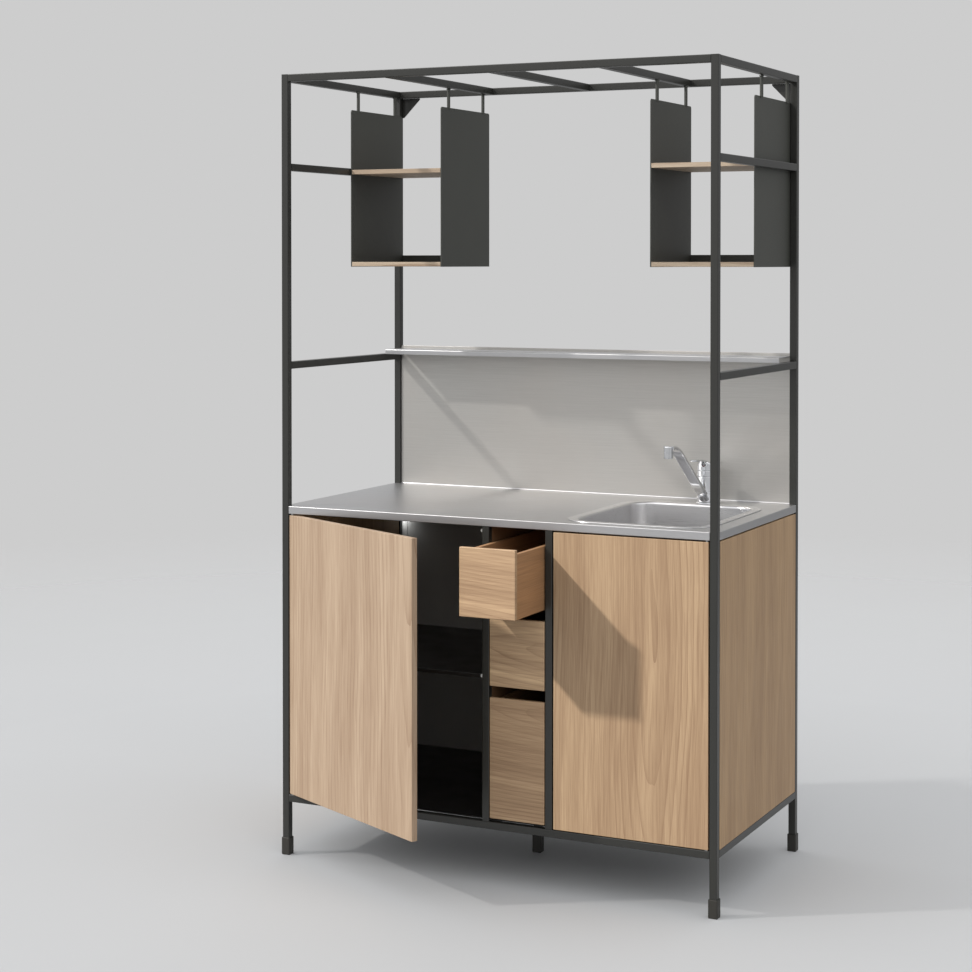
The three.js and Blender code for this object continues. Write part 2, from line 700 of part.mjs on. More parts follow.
// The cap, cut to a slope that rises from its back edge, with the flat lever that
// carries the slope on to its round tip.
function leverGeometry() {
  const crownTop = leverBottom + LEVER_CROWN_HEIGHT;
  const bendTop = leverBottom + LEVER_BEND_HEIGHT;
  const tipTop = leverBottom + LEVER_TIP_HEIGHT;
  const backTop = leverBottom + LEVER_BACK_HEIGHT;
  const wide = around(0, 2 * (TAP_RADIUS + REACH));
  const waste = new THREE.Shape();
  waste.moveTo(TAP_RADIUS + REACH, backTop);
  waste.quadraticCurveTo(TAP_RADIUS / 2, crownTop, -LEVER_CROWN_LEAD, crownTop);
  waste.lineTo(-LEVER_BEND_LEAD, bendTop);
  waste.lineTo(-LEVER_BEND_LEAD, tipTop + REACH);
  waste.lineTo(TAP_RADIUS + REACH, tipTop + REACH);
  waste.closePath();
  const cap = cut(
    solid(cylinderGeometry(TAP_RADIUS, [leverBottom, tipTop])),
    sideProfileGeometry(waste, wide),
  );
  const side = new THREE.Shape();
  side.moveTo(0, crownTop - LEVER_THICKNESS);
  side.lineTo(-LEVER_CROWN_LEAD, crownTop);
  side.lineTo(-LEVER_BEND_LEAD, bendTop);
  side.lineTo(-LEVER_REACH, tipTop);
  side.lineTo(-LEVER_REACH, tipTop - LEVER_THICKNESS);
  side.lineTo(-LEVER_BEND_LEAD, bendTop - LEVER_THICKNESS);
  side.lineTo(0, backTop);
  side.closePath();
  const blade = sideProfileGeometry(side, around(0, LEVER_WIDTH));
  const tipZ = [tipTop - LEVER_THICKNESS, tipTop];
  const tip = cylinderGeometry(LEVER_WIDTH / 2, tipZ, 0, -LEVER_REACH, SMALL_SEGMENTS);
  return geometryOf(cap.add(joined(blade, tip)));
}

function addTap(parent) {
  const tap = new THREE.Group();
  tap.position.set(tapX, tapY, WORKTOP_TOP);
  parent.add(tap);
  addMesh(tap, 'tap_body', tapBodyGeometry(), chrome);
  addMesh(tap, 'tap_spout', spoutGeometry(), chrome);
  const hub = cylinderGeometry(TAP_RADIUS, [hubBottom, hubTop]);
  addMesh(tap, 'tap_hub', hub, chrome);
  addMesh(tap, 'tap_lever', leverGeometry(), chrome);
}

// ---- cabinet ---------------------------------------------------------------------------

function addPanels(parent) {
  const y = [innerFront + SIDE_PANEL_END_GAP, innerBack - SIDE_PANEL_END_GAP];
  const z = [baseTop + FIT, worktopBottom - SIDE_PANEL_TOP_GAP];
  const leftX = [left, left + SIDE_PANEL_THICKNESS];
  const rightX = [right - SIDE_PANEL_THICKNESS, right];
  addBox(parent, 'side_panel_left', oak, leftX, y, z);
  addBox(parent, 'side_panel_right', oak, rightX, y, z);

  const backZ = [baseTop + FIT, worktopBottom];
  addBox(parent, 'back_panel', greySteel, betweenPosts.x, [panelFace, back], backZ);

  const baseY = [innerFront + FIT, panelFace - FIT];
  const baseZ = [baseTop + FIT, basePanelTop];
  addBox(parent, 'base_panel', blackSteel, betweenPosts.x, baseY, baseZ);

  const partitionY = [innerFront + FIT, panelFace - FIT];
  const partitionZ = [basePanelTop + FIT, worktopBottom - FIT];
  for (const [side, x] of [['left', leftDividerX], ['right', rightDividerX]]) {
    const span = around(x, PARTITION_THICKNESS);
    addBox(parent, `partition_${side}`, oak, span, partitionY, partitionZ);
  }
}

// A folded steel shelf in the left bay, with all four edges turned down.
function addInnerShelf(parent) {
  const x = [
    left + SIDE_PANEL_THICKNESS + FIT,
    leftDividerX - PARTITION_THICKNESS / 2 - FIT,
  ];
  const y = [front + INNER_SHELF_SETBACK, panelFace - INNER_SHELF_BACK_GAP];
  const z = [INNER_SHELF_TOP - INNER_SHELF_EDGE, INNER_SHELF_TOP];
  const sheet = INNER_SHELF_THICKNESS;
  const hollow = boxGeometry(grown(x, -sheet), grown(y, -sheet), [z[0] - REACH, z[1] - sheet]);
  addMesh(parent, 'inner_shelf', geometryOf(cut(solid(boxGeometry(x, y, z)), hollow)), blackSteel);
}

// ---- doors -----------------------------------------------------------------------------

// A door in a group that turns on its pivot line. Inward is +1 for a door hinged on the left.
function addDoor(parent, side, width, opening) {
  const inward = side === 'left' ? 1 : -1;
  const group = new THREE.Group();
  group.position.set(pivotX[side], pivotY, 0);
  group.rotation.z = -inward * opening;
  parent.add(group);

  const near = -inward * PIVOT_INSET;
  const far = inward * (width - PIVOT_INSET);
  const x = [Math.min(near, far), Math.max(near, far)];
  const y = [-PIVOT_INSET, DOOR_THICKNESS - PIVOT_INSET];
  const panel = solid(boxGeometry(x, y, [doorBottom, doorTop]));
  const lowBore = [doorBottom - REACH, doorBottom + PIVOT_LENGTH + FIT];
  const highBore = [doorTop - PIVOT_LENGTH - FIT, doorTop + REACH];
  const bored = cut(
    panel,
    cylinderGeometry(boreRadius, lowBore, 0, 0, SMALL_SEGMENTS),
    cylinderGeometry(boreRadius, highBore, 0, 0, SMALL_SEGMENTS),
  );
  addMesh(group, `${side}_door`, geometryOf(bored), oak);
}

// A pin with a flange that parts the door from the rail or the worktop.
function pivotGeometry(low, high, flangeZ) {
  return geometryOf(joined(
    cylinderGeometry(PIVOT_RADIUS, [low, high], 0, 0, SMALL_SEGMENTS),
    cylinderGeometry(PIVOT_FLANGE_RADIUS, flangeZ, 0, 0, SMALL_SEGMENTS),
  ));
}

function addPivots(parent) {
  for (const side of ['left', 'right']) {
    const lowFlange = [baseTop + FIT, baseTop + FIT + PIVOT_FLANGE];
    const low = pivotGeometry(baseTop - PIVOT_LENGTH, doorBottom + PIVOT_LENGTH, lowFlange);
    const highFlange = [worktopBottom - FIT - PIVOT_FLANGE, worktopBottom - FIT];
    const high = pivotGeometry(doorTop - PIVOT_LENGTH, worktopBottom + PIVOT_LENGTH, highFlange);
    for (const [level, geometry] of [['lower', low], ['upper', high]]) {
      const mesh = addMesh(parent, `door_pivot_${level}_${side}`, geometry, zincSteel);
      mesh.position.set(pivotX[side], pivotY, 0);
    }
  }
}

function addDoors(parent) {
  const leftFree = leftDividerX - TUBE / 2 - DOOR_FREE_GAP;
  const rightFree = rightDividerX + TUBE / 2 + DOOR_FREE_GAP;
  addDoor(parent, 'left', leftFree - hingeEdge.left, LEFT_DOOR_OPEN);
  addDoor(parent, 'right', hingeEdge.right - rightFree, 0);
  addPivots(parent);
}

// ---- drawers ---------------------------------------------------------------------------

const bayCentre = (leftDividerX + rightDividerX) / 2;
const frontWidth = DRAWER_BAY - 2 * DRAWER_SIDE_GAP;
const boxWidth = frontWidth - 2 * DRAWER_SIDE_INSET;
const topDrawerTop = worktopBottom - FINGER_GAP;
const topDrawerBottom = topDrawerTop - TOP_DRAWER_HEIGHT;
const middleDrawerTop = topDrawerBottom - FINGER_GAP;
const middleDrawerBottom = middleDrawerTop - MIDDLE_DRAWER_HEIGHT;
const bottomDrawerTop = middleDrawerBottom - FINGER_GAP;
const bottomDrawerBottom = baseTop + DRAWER_BOTTOM_GAP;
const drawers = [
  { name: 'top', z: [topDrawerBottom, topDrawerTop], open: TOP_DRAWER_OPEN },
  { name: 'middle', z: [middleDrawerBottom, middleDrawerTop], open: 0 },
  { name: 'bottom', z: [bottomDrawerBottom, bottomDrawerTop], open: 0 },
];

// Two sides, a back and a floor, with cleats below that straddle the guide rail.
function drawerBoxGeometry(height) {
  const x = around(0, boxWidth);
  const y = [DRAWER_FRONT_THICKNESS + FIT, DRAWER_LENGTH];
  const z = [0, height - DRAWER_SIDE_DROP];
  const floorZ = [DRAWER_RECESS, DRAWER_RECESS + DRAWER_FLOOR];
  const inner = grown(x, -DRAWER_WALL);
  const cleatZ = [DRAWER_RECESS - CLEAT_HEIGHT, DRAWER_RECESS + REACH];
  const cleatY = [y[0] + DRAWER_WALL, y[1] - DRAWER_WALL];
  const cleatInner = GUIDE_WIDTH / 2 + RUN_GAP;
  const body = cut(
    solid(boxGeometry(x, y, z)),
    boxGeometry(inner, [y[0] - REACH, y[1] - DRAWER_WALL], [floorZ[1], z[1] + REACH]),
    boxGeometry(inner, grown(y, REACH), [z[0] - REACH, floorZ[0]]),
  );
  const cleats = [[-cleatInner - CLEAT_WIDTH, -cleatInner], [cleatInner, cleatInner + CLEAT_WIDTH]];
  const joinedCleats = cleats.map((span) => solid(boxGeometry(span, cleatY, cleatZ)));
  return geometryOf(joinedCleats.reduce((shape, cleat) => shape.add(cleat), body));
}

function addDrawers(parent) {
  for (const { name, z, open } of drawers) {
    const height = z[1] - z[0];
    const group = new THREE.Group();
    group.position.set(bayCentre, front - open, z[0]);
    parent.add(group);
    const face = around(0, frontWidth);
    addBox(group, `${name}_drawer_front`, oak, face, [0, DRAWER_FRONT_THICKNESS], [0, height]);
    addMesh(group, `${name}_drawer_box`, drawerBoxGeometry(height), oak);
  }
}

// The fixed guides: two stand on steel carriers between the partitions, one on the base.
function addGuides(parent) {
  const y = [front + CARRIER_SETBACK, front + CARRIER_SETBACK + GUIDE_LENGTH];
  const guideX = around(bayCentre, GUIDE_WIDTH);
  const carrierX = around(bayCentre, DRAWER_BAY + TUBE - PARTITION_THICKNESS - 2 * FIT);
  const headroom = DRAWER_RECESS - GUIDE_HEAD_GAP;
  for (const { name, z } of drawers.slice(0, 2)) {
    const plateZ = [z[0] - RUN_GAP - CARRIER_SHEET, z[0] - RUN_GAP];
    const carrier = joined(
      boxGeometry(carrierX, [y[0], panelFace - FIT], plateZ),
      boxGeometry(guideX, y, [plateZ[0] + REACH, z[0] + headroom]),
    );
    addMesh(parent, `${name}_drawer_carrier`, geometryOf(carrier), blackSteel);
  }
  const lowest = [basePanelTop + FIT, bottomDrawerBottom + headroom];
  addBox(parent, 'bottom_drawer_guide', blackSteel, guideX, y, lowest);
}

// ---- hanging shelf units ------------------------------------------------------------------

const hangingTop = frameTopBottom - HANGING_DROP;
const hangingBottom = hangingTop - HANGING_HEIGHT;
const hangingY = [back - HANGING_BACK_GAP - HANGING_DEPTH, back - HANGING_BACK_GAP];

// A side plate with two round top corners, two rods up to the frame and, if asked, the strip.
function hangingPlateGeometry(x, rodX, stripX) {
  const radius = HANGING_CORNER;
  const [y0, y1] = hangingY;
  const shape = new THREE.Shape();
  shape.moveTo(y0, hangingBottom);
  shape.lineTo(y1, hangingBottom);
  shape.lineTo(y1, hangingTop - radius);
  shape.absarc(y1 - radius, hangingTop - radius, radius, 0, Math.PI / 2, false);
  shape.lineTo(y0 + radius, hangingTop);
  shape.absarc(y0 + radius, hangingTop - radius, radius, Math.PI / 2, Math.PI, false);
  shape.closePath();
  const rodZ = [hangingTop - ROD_ROOT, frameTopBottom - FIT];
  const parts = [sideProfileGeometry(shape, x)];
  for (const y of [y0 + ROD_FRONT_INSET, y1 - ROD_BACK_INSET]) {
    parts.push(cylinderGeometry(ROD_RADIUS, rodZ, rodX, y, SMALL_SEGMENTS));
  }
  if (stripX) {
    const stripZ = [hangingBottom, hangingBottom + STRIP_HEIGHT];
    parts.push(boxGeometry(stripX, [y1 - STRIP_THICKNESS, y1], stripZ));
  }
  return geometryOf(joined(...parts));
}

// One unit between a side rail and the first cross rail; the right one mirrors the left.
function addHangingUnit(parent, side) {
  const mirror = side === 'left' ? 1 : -1;
  const span = (a, b) => (mirror > 0 ? [a, b] : [-b, -a]);
  const outer = innerLeft + HANGING_SIDE_GAP;
  const innerCentre = -crossSpacing - HANGING_RAIL_OFFSET;
  const inner = innerCentre - HANGING_PLATE / 2;
  const outerPlate = span(outer, outer + HANGING_PLATE);
  const innerPlate = span(inner, inner + HANGING_PLATE);
  const outerRod = mirror * (outer + HANGING_PLATE - ROD_RADIUS);
  const strip = span(outer + REACH, inner - FIT);
  const outerGeometry = hangingPlateGeometry(outerPlate, outerRod, strip);
  const innerGeometry = hangingPlateGeometry(innerPlate, mirror * innerCentre, null);
  addMesh(parent, `hanging_plate_outer_${side}`, outerGeometry, plateSteel);
  addMesh(parent, `hanging_plate_inner_${side}`, innerGeometry, plateSteel);

  const x = span(outer + HANGING_PLATE + FIT, inner - FIT);
  const levels = [
    ['lower', LOWER_SHELF_RISE, STRIP_THICKNESS + FIT],
    ['middle', MIDDLE_SHELF_RISE, 0],
  ];
  for (const [level, rise, backGap] of levels) {
    const z = [hangingBottom + rise, hangingBottom + rise + SHELF_THICKNESS];
    const y = [hangingY[0], hangingY[1] - backGap];
    addBox(parent, `hanging_shelf_${level}_${side}`, oak, x, y, z);
  }
}

// ---- assembly ----------------------------------------------------------------------------

const kitchenette = new THREE.Group();
kitchenette.name = 'kitchenette';
addPosts(kitchenette);
addTopFrame(kitchenette);
addSideRails(kitchenette);
addBaseFrame(kitchenette);
addDividers(kitchenette);
addFeet(kitchenette);
addWorktop(kitchenette);
addSplashback(kitchenette);
addLedge(kitchenette);
addSinkBowl(kitchenette);
addStrainer(kitchenette);
addTrap(kitchenette);
addTap(kitchenette);
addPanels(kitchenette);
addInnerShelf(kitchenette);
addDoors(kitchenette);
addDrawers(kitchenette);
addGuides(kitchenette);
addHangingUnit(kitchenette, 'left');
addHangingUnit(kitchenette, 'right');

export default kitchenette;
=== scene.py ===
"""Kitchenette unit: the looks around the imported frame.

A square-tube frame carries a stainless worktop with a sink and a mixer tap, an oak base cabinet, a
splashback with a ledge, and two hanging shelf units. Lengths are metres, X to the right, Y to the
back, Z up, with the origin on the floor under the middle of the frame. Every piece takes its place
from the box of the frame's own node, or is the copy or mirror image of one that does.
"""

import json
import math

import bpy
from bpy.props import FloatProperty, FloatVectorProperty, PointerProperty
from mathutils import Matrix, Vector


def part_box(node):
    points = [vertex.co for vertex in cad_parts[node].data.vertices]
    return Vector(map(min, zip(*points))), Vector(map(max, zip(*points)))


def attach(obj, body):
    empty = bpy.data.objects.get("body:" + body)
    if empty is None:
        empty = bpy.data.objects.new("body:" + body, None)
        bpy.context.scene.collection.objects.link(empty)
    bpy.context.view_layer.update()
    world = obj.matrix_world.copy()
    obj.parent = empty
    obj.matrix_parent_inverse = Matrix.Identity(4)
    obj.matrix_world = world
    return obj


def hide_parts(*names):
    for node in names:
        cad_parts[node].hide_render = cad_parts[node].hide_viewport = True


bl_info = {
    "name": "Kitchenette unit",
    "version": (1, 0, 0),
    "blender": (4, 5, 0),
    "location": "View3D > Sidebar > Kitchenette",
    "description": "Builds a kitchenette unit around its packed frame",
    "category": "Add Mesh",
}

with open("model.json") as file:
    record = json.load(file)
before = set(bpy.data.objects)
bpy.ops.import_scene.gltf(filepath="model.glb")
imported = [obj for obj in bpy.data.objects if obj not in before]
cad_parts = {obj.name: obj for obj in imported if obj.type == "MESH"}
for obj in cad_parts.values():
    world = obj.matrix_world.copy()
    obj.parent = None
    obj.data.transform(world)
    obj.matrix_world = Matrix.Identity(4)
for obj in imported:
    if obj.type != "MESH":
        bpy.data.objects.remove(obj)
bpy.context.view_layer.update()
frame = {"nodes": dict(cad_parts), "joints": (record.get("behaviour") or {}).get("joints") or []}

MM = 0.001
QUARTER = math.pi / 2
SIDES = ("left", "right")
EVEN = (1, 1, 1)
LEFT_DOOR_OPEN = math.radians(-26.8)

# The light falls from the front left, as the drawer's shadow on the right door shows.
SUN_TRAVELS = Vector((0.650, 0.425, -0.630))
CAMERA_PLACE = Vector((2.20078, -4.81410, 1.55275))
CAMERA_YAW = 0.45608
CAMERA_TILT = -0.01892
CAMERA_LENS = 74.880
CAMERA_SHIFT = -0.1914


def srgb(hex_value):
    """An sRGB hex colour as linear red, green and blue."""
    channels = [int(hex_value[i : i + 2], 16) / 255 for i in (1, 3, 5)]
    return tuple(c / 12.92 if c <= 0.04045 else ((c + 0.055) / 1.055) ** 2.4 for c in channels)


# ---- what a user would change ---------------------------------------------------------------


def length(name, description, millimetres):
    return FloatProperty(
        name=name, description=description, default=millimetres * MM, min=0, unit="LENGTH"
    )


def colour(name, description, hex_value):
    return FloatVectorProperty(
        name=name, description=description, default=srgb(hex_value), min=0, max=1, subtype="COLOR"
    )


class KitchenetteSizes(bpy.types.PropertyGroup):
    """Roundings and thicknesses of the visible pieces."""

    tube_corner: length("Tube corner", "Outer corner radius of the square tube", 1.8)
    sheet_edge: length("Sheet edge", "Rounding of sheet steel edges", 0.5)
    board_edge: length("Board edge", "Rounding of doors and panels", 0.9)
    front_edge: length("Drawer front edge", "Rounding of the drawer fronts", 1.8)
    worktop_edge: length("Worktop edge", "Radius of the worktop's folded edge", 1.6)
    cove: length("Cove", "Radius of the cove between worktop and splashback", 3.6)
    rim: length("Sink rim", "Width of the sink's rim around the opening", 26)
    sink_corner: length("Sink corner", "Corner radius of the sink's opening", 58)
    sink_sheet: length("Sink sheet", "Thickness of the sink's steel", 0.6)
    back_bend: length("Back bend", "Radius of the back panel's bent side", 30)


class KitchenetteColours(bpy.types.PropertyGroup):
    """Base colours of the finishes."""

    frame: colour("Frame", "Anthracite powder coat of the tubes", "#242421")
    plates: colour("Plates", "Anthracite powder coat of the hanging plates", "#373833")
    inside: colour("Inside", "Black lacquer of shelf and base", "#181716")
    oak_light: colour("Oak light", "Early wood of the oak veneer", "#ac8f6c")
    oak_right: colour("Oak right door", "Early wood of the right door", "#a48b6d")
    oak_dark: colour("Oak dark", "Late wood of the oak veneer", "#70543c")
    oak_pale: colour("Oak pale", "Early wood of the paler left door", "#ac9780")
    oak_front: colour("Oak fronts", "Early wood of the drawer fronts", "#ae9272")
    # Painted light: the middle drawer front takes a lighter oak than the other fronts, so that it looks more
    # brightly lit.
    oak_middle: colour("Oak middle front", "Early wood of the middle drawer", "#c4a783")
    oak_box: colour("Oak boxes", "Redder wood of the drawer boxes", "#a07853")
    # Painted shade: the partitions' oak is darkened to stand in for the shade inside the bay.
    oak_deep: colour("Oak partitions", "Brown wood of the partitions inside", "#75573c")
    oak_shelf: colour("Oak shelves", "Pale wood of the hanging shelves", "#b6a691")
    steel: colour("Stainless", "Stainless steel of worktop, sink and ledge", "#bfbfc0")
    bowl: colour("Bowl", "Brighter pressed steel of the sink", "#d4d4d5")
    splash: colour("Splashback", "Satin steel of the splashback", "#b9b7b3")
    back: colour("Back panel", "Grey baked coat of the back panel", "#8f8f8d")
    chrome: colour("Chrome", "Polished chrome of the tap", "#d6d7d9")
    feet: colour("Feet", "Moulded plastic of the feet", "#25231e")
    trap: colour("Trap", "Moulded polypropylene of the waste trap", "#e3e3df")
    zinc: colour("Zinc", "Zinc plating of pins and runners", "#a9aaab")


class KitchenetteStage(bpy.types.PropertyGroup):
    """Light, backdrop and floor."""

    sun: FloatProperty(name="Sun", description="Strength of the key light", default=3.45, min=0)
    sun_on_doors: FloatProperty(
        name="Sun on doors", description="Share of the key light beside the open door", default=1.6, min=0
    )
    sun_on_floor: FloatProperty(
        name="Sun on floor", description="Share of the key light on the floor", default=0.2, min=0
    )
    bay: FloatProperty(name="Bay", description="Power of the fill in the open bay", default=0.19, min=0)
    sun_angle: FloatProperty(
        name="Sun size", description="Width of the key light", default=math.radians(2.2), subtype="ANGLE"
    )
    horizon: FloatProperty(name="Horizon", description="Light level at eye height", default=0.62, min=0)
    low: FloatProperty(name="Low", description="Light level low over the horizon", default=1.1, min=0)
    half: FloatProperty(name="Half way", description="Light level half way up", default=1.83, min=0)
    high: FloatProperty(name="High", description="Light level high up", default=1.34, min=0)
    overhead: FloatProperty(name="Overhead", description="Light level overhead", default=1.3, min=0)
    behind: FloatProperty(name="Behind", description="Share of the light behind the unit", default=0.5, min=0)
    backdrop: colour("Backdrop", "Plain backdrop behind the unit", "#cdcdcd")
    floor: colour("Floor", "Plain pale floor", "#c0c1c2")


def sizes():
    return bpy.context.scene.kitchenette_sizes


def colours():
    return bpy.context.scene.kitchenette_colours


# ---- modelling by hand ----------------------------------------------------------------------


def rest():
    """Leaves edit mode, with nothing selected."""
    if bpy.context.mode != "OBJECT":
        bpy.ops.object.mode_set(mode="OBJECT")
    bpy.ops.object.select_all(action="DESELECT")


def activate(piece):
    rest()
    piece.select_set(True)
    bpy.context.view_layer.objects.active = piece


def settled(name):
    """Names the piece just added and moves its place into its mesh."""
    piece = bpy.context.active_object
    piece.name = piece.data.name = name
    bpy.ops.object.transform_apply(location=True, rotation=True, scale=True)
    return piece


def block(name, low, high):
    rest()
    low, high = Vector(low), Vector(high)
    bpy.ops.mesh.primitive_cube_add(size=1, location=(low + high) / 2, scale=high - low)
    return settled(name)


def rod(name, radius, start, end, sides=32):
    rest()
    start, end = Vector(start), Vector(end)
    line = end - start
    turn = line.to_track_quat("Z", "Y").to_euler()
    bpy.ops.mesh.primitive_cylinder_add(
        vertices=sides, radius=radius, depth=line.length, location=(start + end) / 2, rotation=turn
    )
    return settled(name)


def traced(name, points):
    """A line drawn from point to point, left open in edit mode with all of it selected."""
    rest()
    points = [Vector(p) for p in points]
    bpy.ops.mesh.primitive_plane_add(size=MM, location=points[0])
    piece = settled(name)
    bpy.ops.object.mode_set(mode="EDIT")
    bpy.ops.mesh.select_mode(type="VERT")
    bpy.ops.mesh.select_all(action="SELECT")
    bpy.ops.mesh.merge(type="CENTER")
    for here, there in zip(points, points[1:]):
        bpy.ops.mesh.extrude_region_move(TRANSFORM_OT_translate={"value": there - here})
    bpy.ops.mesh.select_all(action="SELECT")
    return piece


def drawn(name, points, along):
    """An outline filled and drawn out along a vector."""
    piece = traced(name, points)
    bpy.ops.mesh.edge_face_add()
    bpy.ops.mesh.extrude_region_move(TRANSFORM_OT_translate={"value": Vector(along)})
    return outward(piece)


def turned(name, profile, centre, steps=64):
    """A profile of (radius, height) points spun round an upright axis at centre."""
    centre = Vector(centre)
    piece = traced(name, [centre + Vector((radius, 0, height)) for radius, height in profile])
    bpy.ops.mesh.spin(steps=steps, angle=2 * math.pi, center=centre, axis=(0, 0, 1))
    return outward(piece)


def outward(piece):
    """Merges doubles, then turns all faces to the outside."""
    activate(piece)
    bpy.ops.object.mode_set(mode="EDIT")
    bpy.ops.mesh.select_all(action="SELECT")
    bpy.ops.mesh.remove_doubles(threshold=0.01 * MM)
    bpy.ops.mesh.normals_make_consistent(inside=False)
    rest()
    return piece


def arc(centre, radius, start, end, steps=6):
    """Points of an arc in a plane, angles in quarters of a turn."""
    spread = [start + (end - start) * i / steps for i in range(steps + 1)]
    return [
        (centre[0] + radius * math.cos(q * QUARTER), centre[1] + radius * math.sin(q * QUARTER))
        for q in spread
    ]


def select(piece, kind, test):
    """Enters edit mode with the parts selected that pass the test: a vertex by its place, an edge
    by its two ends, a face by its centre and normal."""
    activate(piece)
    bpy.ops.object.mode_set(mode="EDIT")
    bpy.ops.mesh.select_mode(type=kind)
    bpy.ops.mesh.select_all(action="DESELECT")
    bpy.ops.object.mode_set(mode="OBJECT")
    mesh = piece.data
    if kind == "VERT":
        for vertex in mesh.vertices:
            vertex.select = test(vertex.co)
    elif kind == "EDGE":
        for edge in mesh.edges:
            edge.select = test(*[mesh.vertices[i].co for i in edge.vertices])
    else:
        for face in mesh.polygons:
            face.select = test(face.center, face.normal)
    bpy.ops.object.mode_set(mode="EDIT")


def round_edges(piece, width, segments, test):
    """Bevels chosen edges in edit mode."""
    select(piece, "EDGE", test)
    bpy.ops.mesh.bevel(offset=width, offset_type="OFFSET", segments=segments, profile=0.5)
    rest()
    return piece


def modified(piece, kind, **settings):
    """Adds one modifier and applies it."""
    activate(piece)
    modifier = piece.modifiers.new(kind.title(), kind)
    for name, value in settings.items():
        setattr(modifier, name, value)
    bpy.ops.object.modifier_apply(modifier=modifier.name)
    return piece


def softened(piece, width, segments=3, angle=30):
    """Rounds every edge sharper than an angle."""
    return modified(
        piece,
        "BEVEL",
        width=width,
        segments=segments,
        limit_method="ANGLE",
        angle_limit=math.radians(angle),
        use_clamp_overlap=True,
        miter_outer="MITER_ARC" if segments > 2 else "MITER_SHARP",
    )


def carved(piece, *cutters, operation="DIFFERENCE"):
    """Cuts the cutters out of a piece, or adds them to it, and removes them."""
    for cutter in cutters:
        modified(piece, "BOOLEAN", object=cutter, operation=operation, solver="EXACT")
        bpy.data.objects.remove(cutter)
    return piece


def joined(name, pieces):
    rest()
    for piece in pieces:
        piece.select_set(True)
    bpy.context.view_layer.objects.active = pieces[0]
    if len(pieces) > 1:
        bpy.ops.object.join()
    pieces[0].name = pieces[0].data.name = name
    return pieces[0]


def copied(piece, name, shift=(0, 0, 0), mirror=False):
    """A copy with its own mesh, mirrored across the middle of the unit if asked, then moved."""
    activate(piece)
    bpy.ops.object.duplicate()
    copy = bpy.context.active_object
    copy.name = copy.data.name = name
    copy.location = shift
    if mirror:
        copy.scale = (-1, 1, 1)
    bpy.ops.object.transform_apply(location=True, rotation=True, scale=True)
    return outward(copy) if mirror else copy


def swung(piece, pivot, angle):
    """Turns a piece round an upright line, as a door on its pins."""
    activate(piece)
    bpy.ops.object.mode_set(mode="EDIT")
    bpy.ops.mesh.select_all(action="SELECT")
    bpy.ops.transform.rotate(value=-angle, orient_axis="Z", center_override=pivot)
    rest()
    return piece


def finished(piece, finish, body, *nodes, smooth=35):
    """Smooths a piece, gives it its finish and puts it on its body in place of the frame's nodes."""
    activate(piece)
    bpy.ops.object.shade_smooth_by_angle(angle=math.radians(smooth))
    modified(piece, "WEIGHTED_NORMAL", keep_sharp=True)
    piece.data.materials.clear()
    piece.data.materials.append(surface(finish))
    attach(piece, body)
    if nodes:
        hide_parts(*nodes)
    return piece


def both_sides(piece, finish, *nodes, shift=(0, 0, 0)):
    """Finishes a piece of the left side of the frame and its mirror image on the right."""
    twin = copied(piece, piece.name.replace("left", "right"), shift, mirror=True)
    finished(twin, finish, "frame", *[name.replace("left", "right") for name in nodes])
    return finished(piece, finish, "frame", *nodes)


# ---- finishes -------------------------------------------------------------------------------


def node(tree, kind, inputs=None, **settings):
    """Adds a node. An input takes a value, or another node's output."""
    made = tree.nodes.new(kind)
    for name, value in settings.items():
        setattr(made, name, value)
    for key, value in (inputs or {}).items():
        if isinstance(value, bpy.types.NodeSocket):
            tree.links.new(value, made.inputs[key])
        else:
            made.inputs[key].default_value = value
    return made


def material(name, base, **values):
    """A material whose even values sit on the shader's own sockets."""
    made = bpy.data.materials.new(name)
    made.use_nodes = True
    tree = made.node_tree
    shader = tree.nodes["Principled BSDF"]
    shader.inputs["Base Color"].default_value = (*base, 1)
    for key, value in values.items():
        shader.inputs[key.replace("_", " ")].default_value = value
    place = node(tree, "ShaderNodeTexCoord").outputs["Object"]
    return made, tree, shader, place


def scaled(tree, place, factors):
    """Object coordinates times a factor on each axis."""
    return node(tree, "ShaderNodeVectorMath", {0: place, 1: factors}, operation="MULTIPLY").outputs[0]


def grain(tree, place, factors, scale, detail=2.0):
    """Noise, stretched by the factors, from 0 to 1. The scale is in features per metre."""
    inputs = {"Vector": scaled(tree, place, factors), "Scale": scale, "Detail": detail}
    return node(tree, "ShaderNodeTexNoise", inputs).outputs["Fac"]


def spread(tree, value, low, high, to_low=0.0, to_high=1.0):
    """Maps a range of a value to another, held at its ends."""
    inputs = {0: value, 1: low, 2: high, 3: to_low, 4: to_high}
    return node(tree, "ShaderNodeMapRange", inputs).outputs[0]


def mixed(tree, factor, first, second):
    inputs = {0: factor, 6: first, 7: second}
    return node(tree, "ShaderNodeMix", inputs, data_type="RGBA").outputs[2]


def roughened(tree, shader, pattern, low, high, smooth, rough):
    """Lets a pattern drive the roughness, from smooth at its low value to rough at its high one."""
    tree.links.new(spread(tree, pattern, low, high, smooth, rough), shader.inputs["Roughness"])


def relief(tree, shader, height, depth):
    """Bump of a real depth in metres."""
    inputs = {"Height": height, "Distance": depth, "Strength": 1.0}
    bump = node(tree, "ShaderNodeBump", inputs).outputs["Normal"]
    tree.links.new(bump, shader.inputs["Normal"])


